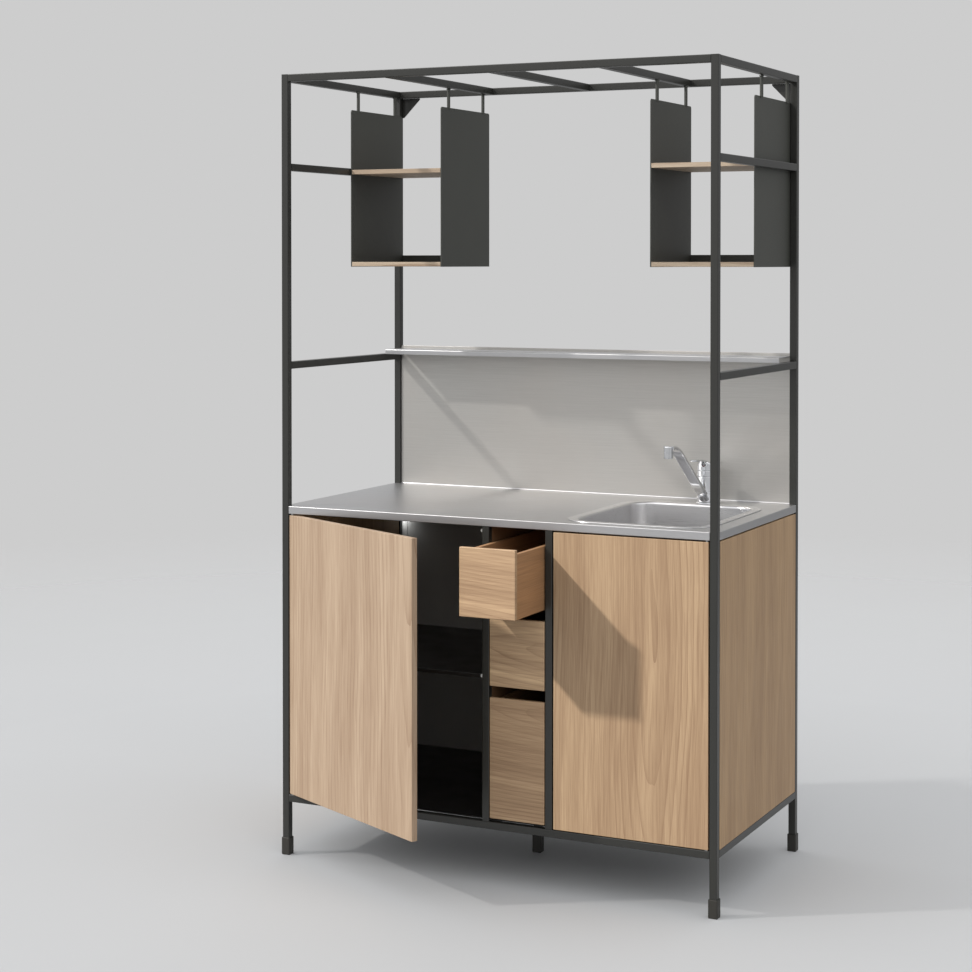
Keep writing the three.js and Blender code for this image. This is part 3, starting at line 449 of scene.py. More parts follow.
def powder_coat(name, base, roughness):
    """Powder-coated steel: matt and even, with a fine orange peel. The peel is drawn at 2.5 mm,
    coarser than the real one, so that it shows."""
    made, tree, shader, place = material(name, base, Roughness=roughness, IOR=1.5)
    peel = grain(tree, place, EVEN, 1 / (2.5 * MM))
    cloud = spread(tree, grain(tree, place, EVEN, 7), 0.3, 0.7)
    lighter = tuple(c * 1.09 for c in base)
    tree.links.new(mixed(tree, cloud, (*base, 1), (*lighter, 1)), shader.inputs["Base Color"])
    roughened(tree, shader, peel, 0.2, 0.8, roughness - 0.05, roughness + 0.07)
    relief(tree, shader, peel, 0.05 * MM)
    return made


def frame_coat():
    return powder_coat("anthracite_powder_coat", colours().frame, 0.33)


def plate_coat():
    return powder_coat("anthracite_plate_coat", colours().plates, 0.5)


def black_lacquer():
    """Black baked lacquer on sheet steel: smooth and half gloss, with a faint haze."""
    made, tree, shader, place = material("black_lacquer", colours().inside, Roughness=0.3, IOR=1.5)
    haze = grain(tree, place, EVEN, 12)
    roughened(tree, shader, haze, 0.3, 0.7, 0.28, 0.36)
    return made


def brushed(name, base, roughness, along, line, depth):
    """Brushed stainless steel: fine lines along one axis that smear reflections across them. The
    lines are drawn at line metres wide, coarser than the real grit, so that they show."""
    made, tree, shader, place = material(name, base, Metallic=1.0, Roughness=roughness)
    stretch = [1.0, 1.0, 1.0]
    stretch[along] = 0.012
    lines = grain(tree, place, stretch, 1 / line, 3.0)
    cloud = grain(tree, place, EVEN, 3.5, 3.0)
    dull = tuple(c * 0.9 for c in base)
    warmer = tuple(c * k for c, k in zip(base, (0.95, 0.92, 0.9)))
    tone = mixed(tree, spread(tree, lines, 0.3, 0.7), (*base, 1), (*dull, 1))
    tone = mixed(tree, spread(tree, cloud, 0.35, 0.65, 0.0, 0.5), tone, (*warmer, 1))
    tree.links.new(tone, shader.inputs["Base Color"])
    roughened(tree, shader, lines, 0.25, 0.75, roughness - 0.05, roughness + 0.06)
    relief(tree, shader, lines, depth)
    return made


def worktop_steel():
    return brushed("brushed_stainless_worktop", colours().steel, 0.37, 0, 1.2 * MM, 0.003 * MM)


def sink_steel():
    return brushed("pressed_stainless_sink", colours().bowl, 0.3, 0, 1.5 * MM, 0.002 * MM)


def splash_steel():
    return brushed("satin_stainless_splash", colours().splash, 0.42, 0, 1.4 * MM, 0.004 * MM)


def back_coat():
    return powder_coat("grey_back_coat", colours().back, 0.45)


def zinc_plate():
    return brushed("zinc_plated_steel", colours().zinc, 0.35, 2, 2 * MM, 0.004 * MM)


def polished_chrome():
    """Chrome plate over cast brass: mirror smooth, with a faint haze from wiping."""
    made, tree, shader, place = material("polished_chrome", colours().chrome, Metallic=1.0, Roughness=0.08)
    haze = grain(tree, place, EVEN, 60, 3.0)
    roughened(tree, shader, haze, 0.3, 0.7, 0.05, 0.13)
    relief(tree, shader, haze, 0.01 * MM)
    return made


def index_enamel():
    """Dark red enamel of the small round index on the lever's cap."""
    made, tree, shader, place = material("index_enamel", srgb("#4a1013"), Roughness=0.25, IOR=1.5)
    speck = grain(tree, place, EVEN, 900)
    roughened(tree, shader, speck, 0.3, 0.7, 0.2, 0.32)
    return made


def moulded(name, base, roughness):
    """Injection-moulded plastic: even, with a fine spark-eroded grain drawn at 1.2 mm."""
    made, tree, shader, place = material(name, base, Roughness=roughness, IOR=1.49)
    fine = grain(tree, place, EVEN, 1 / (1.2 * MM))
    roughened(tree, shader, fine, 0.3, 0.7, roughness - 0.06, roughness + 0.08)
    relief(tree, shader, fine, 0.04 * MM)
    return made


def foot_plastic():
    return moulded("moulded_foot", colours().feet, 0.5)


def trap_plastic():
    return moulded("moulded_trap", colours().trap, 0.35)


def buffer_silicone():
    """Clear silicone of the small door buffers: milky, soft gloss."""
    made, tree, shader, place = material("buffer_silicone", srgb("#d9d9d4"), Roughness=0.25, IOR=1.41)
    fine = grain(tree, place, EVEN, 800)
    roughened(tree, shader, fine, 0.3, 0.7, 0.2, 0.35)
    return made


# How the grain runs: the turn takes the board's own upright grain to the unit's axes.
UPRIGHT = (0.0, 0.0, 0.0)
ACROSS = (0.0, QUARTER, 0.0)
SIDEWAYS = (0.0, 0.0, QUARTER)
INWARD = (-QUARTER, 0.0, 0.0)


def oak(name, light, centre, turn=UPRIGHT, heart=(0, 0, 0), spacing=11.0, stretch=0.07, contrast=1.0):
    """Oak veneer, sliced flat and matt lacquered: nested arcs round the heart of the log, soft
    stripes along the grain, and short fibres. Growth rings are spacing millimetres apart."""
    made, tree, shader, place = material(name, light, Roughness=0.55, IOR=1.47)
    inputs = {"Vector": place, "Location": centre, "Rotation": turn}
    board = node(tree, "ShaderNodeMapping", inputs, vector_type="TEXTURE").outputs[0]
    drift = {"Vector": scaled(tree, board, (1, 1, 0.35)), "Scale": 3.2, "Detail": 1.5}
    wander = node(tree, "ShaderNodeTexNoise", drift).outputs["Color"]
    bend = {0: wander, 1: (0.075, 0.0, 0.0), 2: board}
    bent = node(tree, "ShaderNodeVectorMath", bend, operation="MULTIPLY_ADD").outputs[0]
    moved = node(tree, "ShaderNodeVectorMath", {0: bent, 1: heart}, operation="SUBTRACT").outputs[0]
    rings = {
        "Vector": scaled(tree, moved, (1, 1, stretch)),
        "Scale": 2 * math.pi / 20 / (spacing * MM),
        "Distortion": 2.4,
        "Detail": 2.0,
        "Detail Scale": 0.9,
        "Detail Roughness": 0.55,
    }
    wave = node(
        tree, "ShaderNodeTexWave", rings, wave_type="RINGS", rings_direction="SPHERICAL", wave_profile="SAW"
    ).outputs["Fac"]
    late = node(tree, "ShaderNodeMath", {0: wave, 1: 5.0}, operation="POWER").outputs[0]
    fade = spread(tree, grain(tree, board, (1, 1, 0.12), 11), 0.35, 0.65, 0.1, 1.0)
    lines = node(tree, "ShaderNodeMath", {0: late, 1: fade}, operation="MULTIPLY").outputs[0]
    stripes = spread(tree, grain(tree, bent, (1, 1, 0.05), 26, 3.0), 0.35, 0.65)
    veins = spread(tree, grain(tree, bent, (1, 1, 0.03), 130, 3.0), 0.5, 0.7)
    fibres = spread(tree, grain(tree, board, (1, 1, 0.03), 1 / (2.4 * MM), 4.0), 0.3, 0.7)
    dark = (*colours().oak_dark, 1)
    tone = (*light, 1)
    for part, share in ((stripes, 0.32), (lines, 0.56), (veins, 0.26), (fibres, 0.3)):
        tone = mixed(tree, spread(tree, part, 0, 1, 0, share * contrast), tone, dark)
    tree.links.new(tone, shader.inputs["Base Color"])
    roughened(tree, shader, fibres, 0, 1, 0.5, 0.62)
    relief(tree, shader, fibres, 0.04 * MM)
    return made


def middle(*nodes):
    """The middle of the box round some of the frame's nodes."""
    corners = [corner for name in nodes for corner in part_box(name)]
    return tuple((min(c[i] for c in corners) + max(c[i] for c in corners)) / 2 for i in range(3))


def oak_left_door():
    board, turn = middle("left_door"), (0, 0, LEFT_DOOR_OPEN)
    return oak("oak_left_door", colours().oak_pale, board, turn, (0.31, 0.02, 1.6), 13, 0.05, 1.05)


def oak_right_door():
    board = middle("right_door")
    return oak("oak_right_door", colours().oak_right, board, UPRIGHT, (0.1, 0.03, 0.2), 13, 0.085, 1.3)


def oak_side(side, heart):
    board = middle(f"side_panel_{side}")
    return oak(f"oak_side_{side}", colours().oak_light, board, SIDEWAYS, heart, 9, 0.05)


def oak_side_left():
    return oak_side("left", (0.2, 0.05, -0.9))


def oak_side_right():
    return oak_side("right", (-0.33, 0.04, 1.4))


# Painted shade: the partitions take a darkened oak that stands in for the shade inside the bay.
def oak_partition():
    board = middle("partition_left")
    return oak("oak_partition", colours().oak_deep, board, SIDEWAYS, (0.1, 0.1, 0.6), 12, 0.05)


def oak_front(level, heart, light=None):
    name = f"{level}_drawer_front"
    light = light or colours().oak_front
    return oak(f"oak_{name}", light, middle(name), ACROSS, heart, 9, 0.1, 1.25)


def oak_top_front():
    return oak_front("top", (0.16, 0.03, -0.5))


# Painted light: the middle front gets a lighter oak than the other fronts, standing in for light falling on
# it.
def oak_middle_front():
    return oak_front("middle", (0.02, 0.05, 0.62), colours().oak_middle)


def oak_bottom_front():
    return oak_front("bottom", (-0.09, 0.02, 0.4))


def oak_drawer_box():
    board = middle("middle_drawer_box")
    return oak("oak_drawer_box", colours().oak_box, board, INWARD, (0.3, 0.1, 0.2), 12, 0.06)


def oak_shelf():
    return oak("oak_shelf", colours().oak_shelf, middle("top_frame"), ACROSS, (0.6, 0.4, 0.3), 12, 0.05)


# Each finish has the record's slot that it belongs to and the function that makes it.
FINISHES = {
    "frame_coat": ("frame_steel", frame_coat),
    "plate_coat": ("plate_steel", plate_coat),
    "black_lacquer": ("black_steel", black_lacquer),
    "worktop_steel": ("stainless", worktop_steel),
    "sink_steel": ("stainless", sink_steel),
    "splash_steel": ("splash_steel", splash_steel),
    "back_coat": ("grey_steel", back_coat),
    "chrome": ("chrome", polished_chrome),
    "index_enamel": ("chrome", index_enamel),
    "foot_plastic": ("foot_plastic", foot_plastic),
    "trap_plastic": ("white_plastic", trap_plastic),
    "buffer_silicone": ("white_plastic", buffer_silicone),
    "zinc_plate": ("zinc_steel", zinc_plate),
    "oak_left_door": ("oak", oak_left_door),
    "oak_right_door": ("oak", oak_right_door),
    "oak_side_left": ("oak", oak_side_left),
    "oak_side_right": ("oak", oak_side_right),
    "oak_partition": ("oak", oak_partition),
    "oak_top_front": ("oak", oak_top_front),
    "oak_middle_front": ("oak", oak_middle_front),
    "oak_bottom_front": ("oak", oak_bottom_front),
    "oak_drawer_box": ("oak", oak_drawer_box),
    "oak_shelf": ("oak", oak_shelf),
}
made_surfaces = {}


def surface(finish):
    """The material of a finish, made at its first use."""
    if finish not in made_surfaces:
        made_surfaces[finish] = FINISHES[finish][1]()
    return made_surfaces[finish]


# ---- frame ----------------------------------------------------------------------------------

LOWER_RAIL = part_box("side_rail_lower_left")
TUBE = LOWER_RAIL[1].x - LOWER_RAIL[0].x
HALF_TUBE = TUBE / 2
(LEFT, FRONT, _), (RIGHT, BACK, UNIT_TOP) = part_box("top_frame")
GAP = 0.3 * MM


def tube(name, low, high):
    """A length of square tube: long edges rounded, ends cut square."""
    piece = block(name, low, high)
    size = Vector(high) - Vector(low)
    along = max(range(3), key=lambda axis: size[axis])
    half = size[along] / 2
    return round_edges(piece, sizes().tube_corner, 4, lambda a, b: abs(a[along] - b[along]) > half)


def rails(node_name):
    """A rail of the left side and its mirror image."""
    both_sides(tube(node_name.replace("_", "-"), *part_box(node_name)), "frame_coat", node_name)


def posts(end):
    """The left post at one end, up to the top of the unit, and its mirror image. A back post has a
    gusset under the top rail."""
    name = f"post_{end}_left"
    low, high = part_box(name)
    face = LEFT + TUBE
    y = FRONT if end == "front" else BACK - TUBE
    parts = [tube("post", (LEFT, y, low.z), (face, y + TUBE, UNIT_TOP))]
    if end == "back":
        sheet, lip = 3 * MM, 4 * MM
        reach, top = high.x - face, UNIT_TOP - TUBE - GAP
        corners = [(0, 0), (reach, 0), (reach, lip), (lip, reach), (0, reach)]
        points = [(face + across, BACK - sheet, top - down) for across, down in corners]
        parts.append(softened(drawn("gusset", points, (0, sheet, 0)), 0.4 * MM, 2))
    both_sides(joined(name.replace("_", "-"), parts), "frame_coat", name)


def top_frame():
    """Four rails between the posts and three rungs."""
    z = (UNIT_TOP - TUBE, UNIT_TOP)
    x = (LEFT + TUBE + GAP, RIGHT - TUBE - GAP)
    y = (FRONT + TUBE + GAP, BACK - TUBE - GAP)
    step = (RIGHT - LEFT - TUBE) / 4
    rails = [
        tube("rail", (x[0], FRONT, z[0]), (x[1], FRONT + TUBE, z[1])),
        tube("rail", (x[0], BACK - TUBE, z[0]), (x[1], BACK, z[1])),
        tube("rail", (LEFT, y[0], z[0]), (LEFT + TUBE, y[1], z[1])),
        tube("rail", (RIGHT - TUBE, y[0], z[0]), (RIGHT, y[1], z[1])),
    ]
    for place in (-1, 0, 1):
        middle_x = place * step
        low = (middle_x - HALF_TUBE, y[0], z[0])
        rails.append(tube("rung", low, (middle_x + HALF_TUBE, y[1], z[1])))
    return finished(joined("top-frame", rails), "frame_coat", "frame", "top_frame")


def base_frame():
    """Front, back and middle rails under the cabinet, with a leg under the middle rail."""
    low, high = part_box("base_frame")
    top = high.z
    divider = middle("foot_middle")[0]
    x = (divider - HALF_TUBE, divider + HALF_TUBE)
    parts = [
        tube("rail", (low.x, FRONT, top - TUBE), (high.x, FRONT + TUBE, top)),
        tube("rail", (low.x, BACK - TUBE, top - TUBE), (high.x, BACK, top)),
        tube("rail", (x[0], FRONT + TUBE + GAP, top - TUBE), (x[1], BACK - TUBE - GAP, top)),
        tube("leg", (x[0], -HALF_TUBE, low.z), (x[1], HALF_TUBE, top - TUBE - GAP)),
    ]
    return finished(joined("base-frame", parts), "frame_coat", "frame", "base_frame")


def divider_posts():
    """A short post on each side of the drawers, with two tabs that carry the door buffers. The posts
    mirror each other across the middle of the drawers."""
    low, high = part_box("divider_post_left")
    shift = (low.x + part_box("divider_post_right")[1].x, 0, 0)
    face = high.x - TUBE
    parts = [tube("post", (face, FRONT, low.z), (high.x, FRONT + TUBE, high.z))]
    tab_half, tab_front, tab_back = 6 * MM, FRONT + 17.5 * MM, FRONT + 19 * MM
    radius, thick, rounding = 4.4 * MM, 1.3 * MM, 0.8 * MM
    heights = {"upper": high.z - 12.7 * MM, "lower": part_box("inner_shelf")[1].z + 4 * MM}
    for level, height in heights.items():
        corners = (low.x, tab_front, height - tab_half), (face + MM, tab_back, height + tab_half)
        parts.append(softened(block("tab", *corners), 0.3 * MM, 2))
        back = Vector((low.x + 0.8 * MM, tab_front, height))
        buffer = rod(f"door_buffer_{level}_left", radius, back - Vector((0, thick, 0)), back, 24)
        round_edges(buffer, rounding, 3, lambda a, b: max(a.y, b.y) < tab_front - MM)
        both_sides(buffer, "buffer_silicone", shift=shift)
    both_sides(joined("divider-left", parts), "frame_coat", "divider_post_left", shift=shift)


def foot(node_name):
    """A moulded sleeve: rounded upright edges, a chamfered sole and a socket for the tube."""
    low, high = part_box(node_name)
    piece = block(node_name.replace("_", "-"), low, high)
    tall, rim, sole = (high.z - low.z) / 2, 1.2 * MM, 5 * MM
    bottom, top = low.z + 0.1 * MM, high.z - 0.1 * MM
    round_edges(piece, 3 * MM, 4, lambda a, b: abs(a.z - b.z) > tall)
    round_edges(piece, 2.2 * MM, 3, lambda a, b: max(a.z, b.z) < bottom)
    round_edges(piece, rim, 3, lambda a, b: min(a.z, b.z) > top)
    select(piece, "FACE", lambda centre, normal: normal.z > 0.9 and centre.z > top)
    bpy.ops.mesh.inset(thickness=(high.x - low.x - TUBE - 2 * GAP) / 2 - rim)
    down = Vector((0, 0, low.z - high.z + sole))
    bpy.ops.mesh.extrude_region_move(TRANSFORM_OT_translate={"value": down})
    rest()
    return piece


def feet():
    """One foot, and its copies at the other four places."""
    first_name = "foot_front_left"
    first = foot(first_name)
    for place in ("front_right", "back_left", "back_right", "middle"):
        name = f"foot_{place}"
        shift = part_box(name)[0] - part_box(first_name)[0]
        finished(copied(first, name.replace("_", "-"), shift), "foot_plastic", "frame", name)
    finished(first, "foot_plastic", "frame", first_name)


# ---- worktop, splashback and ledge ------------------------------------------------------------


def upright(a, b):
    return abs(a.z - b.z) > max(abs(a.x - b.x), abs(a.y - b.y))


def bowl_opening():
    """The sink's opening as (low x, low y, high x, high y)."""
    low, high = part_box("sink_bowl")
    rim = sizes().rim
    return low.x + rim, low.y + rim, high.x - rim, high.y - rim


def worktop():
    """A folded steel top: notched round the posts, cut out for bowl and tap."""
    low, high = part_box("worktop")
    piece = block("worktop_top", low, high)
    cutters = []
    deep, tall = 10 * MM, 50 * MM
    tap_hole = 15.5 * MM
    for x in (LEFT, RIGHT - TUBE):
        for y in (FRONT, BACK - TUBE):
            corner = Vector((x - GAP, y - GAP, low.z - deep))
            notch = Vector((TUBE + 2 * GAP, TUBE + 2 * GAP, tall))
            cutters.append(block("notch", corner, corner + notch))
    x0, y0, x1, y1 = bowl_opening()
    room = 4.5 * MM
    hole = block("hole", (x0 - room, y0 - room, low.z - deep), (x1 + room, y1 + room, high.z + deep))
    cutters.append(round_edges(hole, sizes().sink_corner + room, 16, upright))
    x, y, _ = middle("tap_body")
    cutters.append(rod("hole", tap_hole, (x, y, low.z - deep), (x, y, high.z + deep)))
    carved(piece, *cutters)
    softened(piece, sizes().worktop_edge, 4)
    return finished(piece, "worktop_steel", "frame", "worktop")


def cove():
    """The small cove where the worktop turns up to the splashback."""
    low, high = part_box("splashback")
    face, top = low.y - 0.1 * MM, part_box("worktop")[1].z - 0.2 * MM
    radius = sizes().cove
    curve = arc((face - radius, top + radius), radius, 3, 4, 8)
    outline = [(face, top), *[(y, z) for y, z in reversed(curve)]]
    points = [(low.x, y, z) for y, z in outline]
    piece = drawn("worktop_cove", points, (high.x - low.x, 0, 0))
    return finished(piece, "worktop_steel", "frame")


def splashback():
    return board("splash_sheet", "splash_steel", "frame", "splashback", 0.9 * MM)


def ledge():
    """A folded sheet: flat top, rounded fold and lip at the front."""
    low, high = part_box("ledge")
    sheet, bend = 2 * MM, 2.6 * MM
    outer = arc((low.y + bend, high.z - bend), bend, 2, 1, 5)
    inner = arc((low.y + bend, high.z - bend), bend - sheet, 1, 2, 5)
    outline = [(low.y, low.z), *outer, (high.y, high.z), (high.y, high.z - sheet), *inner]
    outline.append((low.y + sheet, low.z))
    piece = drawn("ledge_sheet", [(low.x, y, z) for y, z in outline], (high.x - low.x, 0, 0))
    return finished(piece, "worktop_steel", "frame", "ledge")


# ---- sink ---------------------------------------------------------------------------------------


def quarter_steps(radius, count, hollow):
    """A quarter round as (inset, rise) steps down, in millimetres: from level to steep, or from
    steep to level where hollow."""
    steps = []
    for i in range(count):
        here, there = QUARTER * i / count, QUARTER * (i + 1) / count
        flat = radius * (math.sin(there) - math.sin(here))
        drop = radius * (math.cos(here) - math.cos(there))
        steps.append((flat, -drop))
    return [(-drop, -flat) for flat, drop in steps] if hollow else steps


def sink_bowl():
    """A pressed bowl, drawn from its outer rim inwards: folded edge, flat rim, rolled bead, walls
    that lean in, a round floor edge and a flat floor with the waste hole."""
    low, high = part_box("sink_bowl")
    rest()
    sheet, bead, roll = sizes().sink_sheet, 1.6 * MM, 1.5
    centre = ((low.x + high.x) / 2, (low.y + high.y) / 2, high.z - bead)
    bpy.ops.mesh.primitive_plane_add(size=1, location=centre)
    piece = bpy.context.active_object
    piece.scale = (high.x - low.x, high.y - low.y, 1)
    piece = settled("sink_pressing")
    bpy.ops.object.mode_set(mode="EDIT")
    bpy.ops.mesh.select_all(action="SELECT")
    corner = sizes().sink_corner + sizes().rim
    bpy.ops.mesh.bevel(offset=corner, segments=20, affect="VERTICES", profile=0.5)
    rest()
    floor = (low.z + sheet - high.z + bead) / MM
    steps = [(flat, -fall) for flat, fall in reversed(quarter_steps(roll, 5, False))]
    steps += [(3.0, -0.1), (5.0, -0.5), (6.0, 0.0), (2.5, 0.3), (2.0, 0.3)]
    steps += quarter_steps(7, 6, False) + [(1.5, -30), (2.0, -40)]
    walls = sum(rise for _, rise in steps)
    steps += [(1.8, floor - walls + 22)] + quarter_steps(22, 7, True) + [(18, 0)]
    select(piece, "FACE", lambda centre, normal: True)
    for inset, rise in steps:
        bpy.ops.mesh.inset(thickness=inset * MM, depth=rise * MM, use_even_offset=True)
    rest()
    modified(piece, "SOLIDIFY", thickness=sheet, offset=-1, use_even_offset=True)
    x, y, _ = centre
    hole = 43.8 * MM
    carved(piece, rod("waste", hole, (x, y, low.z - 20 * MM), (x, y, low.z + 10 * MM), 64))
    return finished(piece, "sink_steel", "frame", "sink_bowl", smooth=32)


def strainer():
    """The waste fitting: a turned flange and cup, with a pierced basket and its knob inside."""
    low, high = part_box("sink_strainer")
    x, y, _ = middle("sink_strainer")
    radius = 43.5 * MM
    flange = (high.x - low.x) / 2
    top = high.z
    profile = [
        (0, low.z), (radius - 3 * MM, low.z), (radius, low.z + 3 * MM), (radius, top - 2 * MM),
        (flange - 1 * MM, top - 2 * MM), (flange, top - 1.4 * MM), (flange - 2 * MM, top - 0.5 * MM),
        (flange - 5 * MM, top), (radius + 1 * MM, top - 0.2 * MM), (radius - 1.5 * MM, top - 1.2 * MM),
        (radius - 2.6 * MM, top - 4 * MM), (radius - 5 * MM, low.z + 4 * MM),
        (radius - 8 * MM, low.z + 2 * MM), (0, low.z + 2 * MM),
    ]
    cup = turned("strainer_cup", profile, (x, y, 0), 72)
    finished(cup, "chrome", "frame", "sink_strainer")

    level = top - 12 * MM
    disc = [(0, 0), (36, 0), (39, 3), (39.4, 7), (38, 7), (37.4, 4), (35.2, 1.6), (0, 1.6)]
    disc = [(across * MM, level + up * MM) for across, up in disc]
    basket = turned("strainer_basket", disc, (x, y, 0), 64)
    pins = []
    for ring, count in ((13, 8), (21, 14), (29, 20)):
        for i in range(count):
            angle = 2 * math.pi * i / count
            place = (x + ring * MM * math.cos(angle), y + ring * MM * math.sin(angle))
            pins.append(rod("pin", 2.3 * MM, (*place, level - 4 * MM), (*place, level + 6 * MM), 12))
    carved(basket, joined("pins", pins))
    profile = [(0, 1), (3, 1), (3, 6), (7, 8), (7.4, 10), (5, 11.4), (0, 11.8)]
    knob = turned("knob", [(across * MM, level + up * MM) for across, up in profile], (x, y, 0), 32)
    return finished(joined("strainer_basket", [basket, knob]), "chrome", "frame")


def union_nut(radius, start, end):
    """A ribbed union nut of the trap."""
    return softened(rod("nut", radius, start, end, 14), 0.9 * MM, 2, 20)


def waste_trap():
    """A bottle trap: neck, ribbed union nuts, round cup with a screw foot, and the outlet pipe."""
    low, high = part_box("waste_trap")
    x, y, _ = middle("sink_strainer")
    cup = 32 * MM
    neck = 20 * MM
    shoulder = high.z - 40 * MM
    profile = [
        (0, low.z), (cup - 9 * MM, low.z), (cup - 6 * MM, low.z + 1.5 * MM), (cup - 6 * MM, low.z + 12 * MM),
        (cup - 2.5 * MM, low.z + 13 * MM), (cup, low.z + 17 * MM), (cup, shoulder - 10 * MM),
        (cup - 3 * MM, shoulder - 4 * MM), (neck + 2 * MM, shoulder), (neck, shoulder + 2 * MM),
        (neck, high.z), (0, high.z),
    ]
    parts = [turned("trap", profile, (x, y, 0), 48)]
    for bottom, height in ((low.z + 26 * MM, 16 * MM), (high.z - 24 * MM, 20 * MM)):
        radius = cup + MM if bottom < shoulder else neck + 6 * MM
        parts.append(union_nut(radius, (x, y, bottom), (x, y, bottom + height)))
    outlet = low.z + 80 * MM
    pipe = rod("pipe", neck, (x, y + 10 * MM, outlet), (x, high.y, outlet), 40)
    parts.append(softened(pipe, 0.8 * MM, 2))
    nut_y = y + cup - 2 * MM
    parts.append(union_nut(neck + 6 * MM, (x, nut_y, outlet), (x, nut_y + 22 * MM, outlet)))
    body = parts[0]
    carved(body, *parts[1:], operation="UNION")
    body.name = body.data.name = "waste_bottle_trap"
    return finished(body, "trap_plastic", "frame", "waste_trap")


# ---- tap ----------------------------------------------------------------------------------------


TAP_RADIUS = 23 * MM
RING_HEIGHT = 27 * MM


def rounded_profile(radius, low, high, edge, inner=0):
    """The side of a turned disc or ring with rounded edges, from the inside at the bottom to the top."""
    points = [(inner, low)]
    points += arc((radius - edge, low + edge), edge, 3, 4, 4)
    points += arc((radius - edge, high - edge), edge, 0, 1, 4)
    return [*points, (inner, high)]


def tap_body():
    """Flange, pillar and upper body, with the shank and its nut under the worktop."""
    low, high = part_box("tap_body")
    x, y, _ = middle("tap_body")
    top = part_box("worktop")[1].z
    ring_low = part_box("tap_spout")[0].z
    ring_high = ring_low + RING_HEIGHT
    flange, pillar, shank, nut = 25 * MM, 17 * MM, 14 * MM, 24 * MM
    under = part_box("worktop")[0].z - GAP
    profile = [(0, low.z), (shank - MM, low.z), (shank, low.z + MM), (shank, under - 10 * MM)]
    profile += [(nut, under - 10 * MM), (nut, under), (shank, under), (shank, top + GAP)]
    profile += [(flange, top + GAP)]
    profile += arc((flange - 2 * MM, top + 1.3 * MM), 2 * MM, 0, 1, 4)[1:]
    profile += [(pillar, ring_low - GAP), (pillar, ring_high + GAP)]
    profile += arc((TAP_RADIUS - MM, ring_high + GAP + MM), MM, 3, 4, 3)
    profile += arc((TAP_RADIUS - 1.2 * MM, high.z - 1.2 * MM), 1.2 * MM, 0, 1, 4)
    profile += [(0, high.z)]
    piece = turned("tap_pillar", profile, (x, y, 0), 72)
    return finished(piece, "chrome", "frame", "tap_body")


def spout_outline(root, bend, head, top, thick_root, thick_head):
    """The blade from the side, as (y, z): up from the ring, over a bend, level into the head."""
    run, rise = root[0] - bend[0], bend[1] - root[1]
    span = math.hypot(run, rise)
    normal = (-rise / span, -run / span)
    control = (bend[0] - (top - bend[1]) * run / rise, top)
    upper, lower = [root], []
    count = 12
    for i in range(count + 1):
        t = i / count
        weights = ((1 - t) ** 2, 2 * t * (1 - t), t * t)
        y = weights[0] * bend[0] + weights[1] * control[0] + weights[2] * head
        z = weights[0] * bend[1] + weights[1] * control[1] + weights[2] * top
        thick = thick_root * 0.75 + (thick_head - thick_root * 0.75) * t
        slope = (1 - t, t)
        across = (normal[0] * slope[0], normal[1] * slope[0] - slope[1])
        size = math.hypot(*across)
        upper.append((y, z))
        lower.append((y + thick * across[0] / size, z + thick * across[1] / size))
    lower.insert(0, (root[0] + thick_root * normal[0], root[1] + thick_root * normal[1]))
    return upper + lower[::-1]


def tap_spout():
    """Turning ring, flat blade and spray head of the low spout."""
    low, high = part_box("tap_spout")
    x, y, _ = middle("tap_body")
    width, inner = 28 * MM, 17.3 * MM
    ring_top = low.z + RING_HEIGHT
    profile = rounded_profile(TAP_RADIUS, low.z, ring_top, 1.6 * MM, inner)
    ring = turned("spout_swivel", [*profile, (inner, low.z)], (x, y, 0), 72)

    head_y = low.y + 12 * MM
    root = (y - TAP_RADIUS + 3 * MM, low.z + 25 * MM)
    bend = (head_y + 69 * MM, high.z - 20 * MM)
    outline = spout_outline(root, bend, head_y, high.z - 0.5 * MM, 11 * MM, 8.5 * MM)
    points = [(x - width / 2, py, pz) for py, pz in outline]
    blade = drawn("blade", points, (width, 0, 0))
    near = x - width / 2 + 0.1 * MM
    far = x + width / 2 - 0.1 * MM
    round_edges(blade, 2.6 * MM, 4, lambda a, b: max(a.x, b.x) < near or min(a.x, b.x) > far)

    head_low = high.z - 32 * MM
    seam = high.z - 16 * MM
    head = [(8 * MM, head_low + 9 * MM), (8 * MM, head_low + MM), (9 * MM, head_low), (11 * MM, head_low)]
    head += [(12 * MM, head_low + 1.2 * MM), (12 * MM, seam - 0.6 * MM), (11.3 * MM, seam - 0.3 * MM)]
    head += [(11.3 * MM, seam + 0.3 * MM), (12 * MM, seam + 0.6 * MM)]
    head += arc((8.5 * MM, high.z - 3.5 * MM), 3.5 * MM, 0, 1, 6) + [(0, high.z)]
    head = [(0, head_low + 9 * MM), *head]
    nozzle = turned("head", head, (x, head_y, 0), 48)
    carved(ring, blade, nozzle, operation="UNION")
    core = rod("core", inner, (x, y, low.z - 5 * MM), (x, y, ring_top + 20 * MM), 72)
    carved(ring, core)
    return finished(ring, "chrome", "spout", "tap_spout", smooth=30)


def tap_hub():
    """The turning collar under the lever's cap."""
    low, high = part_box("tap_hub")
    x, y, _ = middle("tap_hub")
    profile = rounded_profile((high.x - low.x) / 2, low.z, high.z, 1.2 * MM)
    return finished(turned("tap_collar", profile, (x, y, 0), 72), "chrome", "hub", "tap_hub")


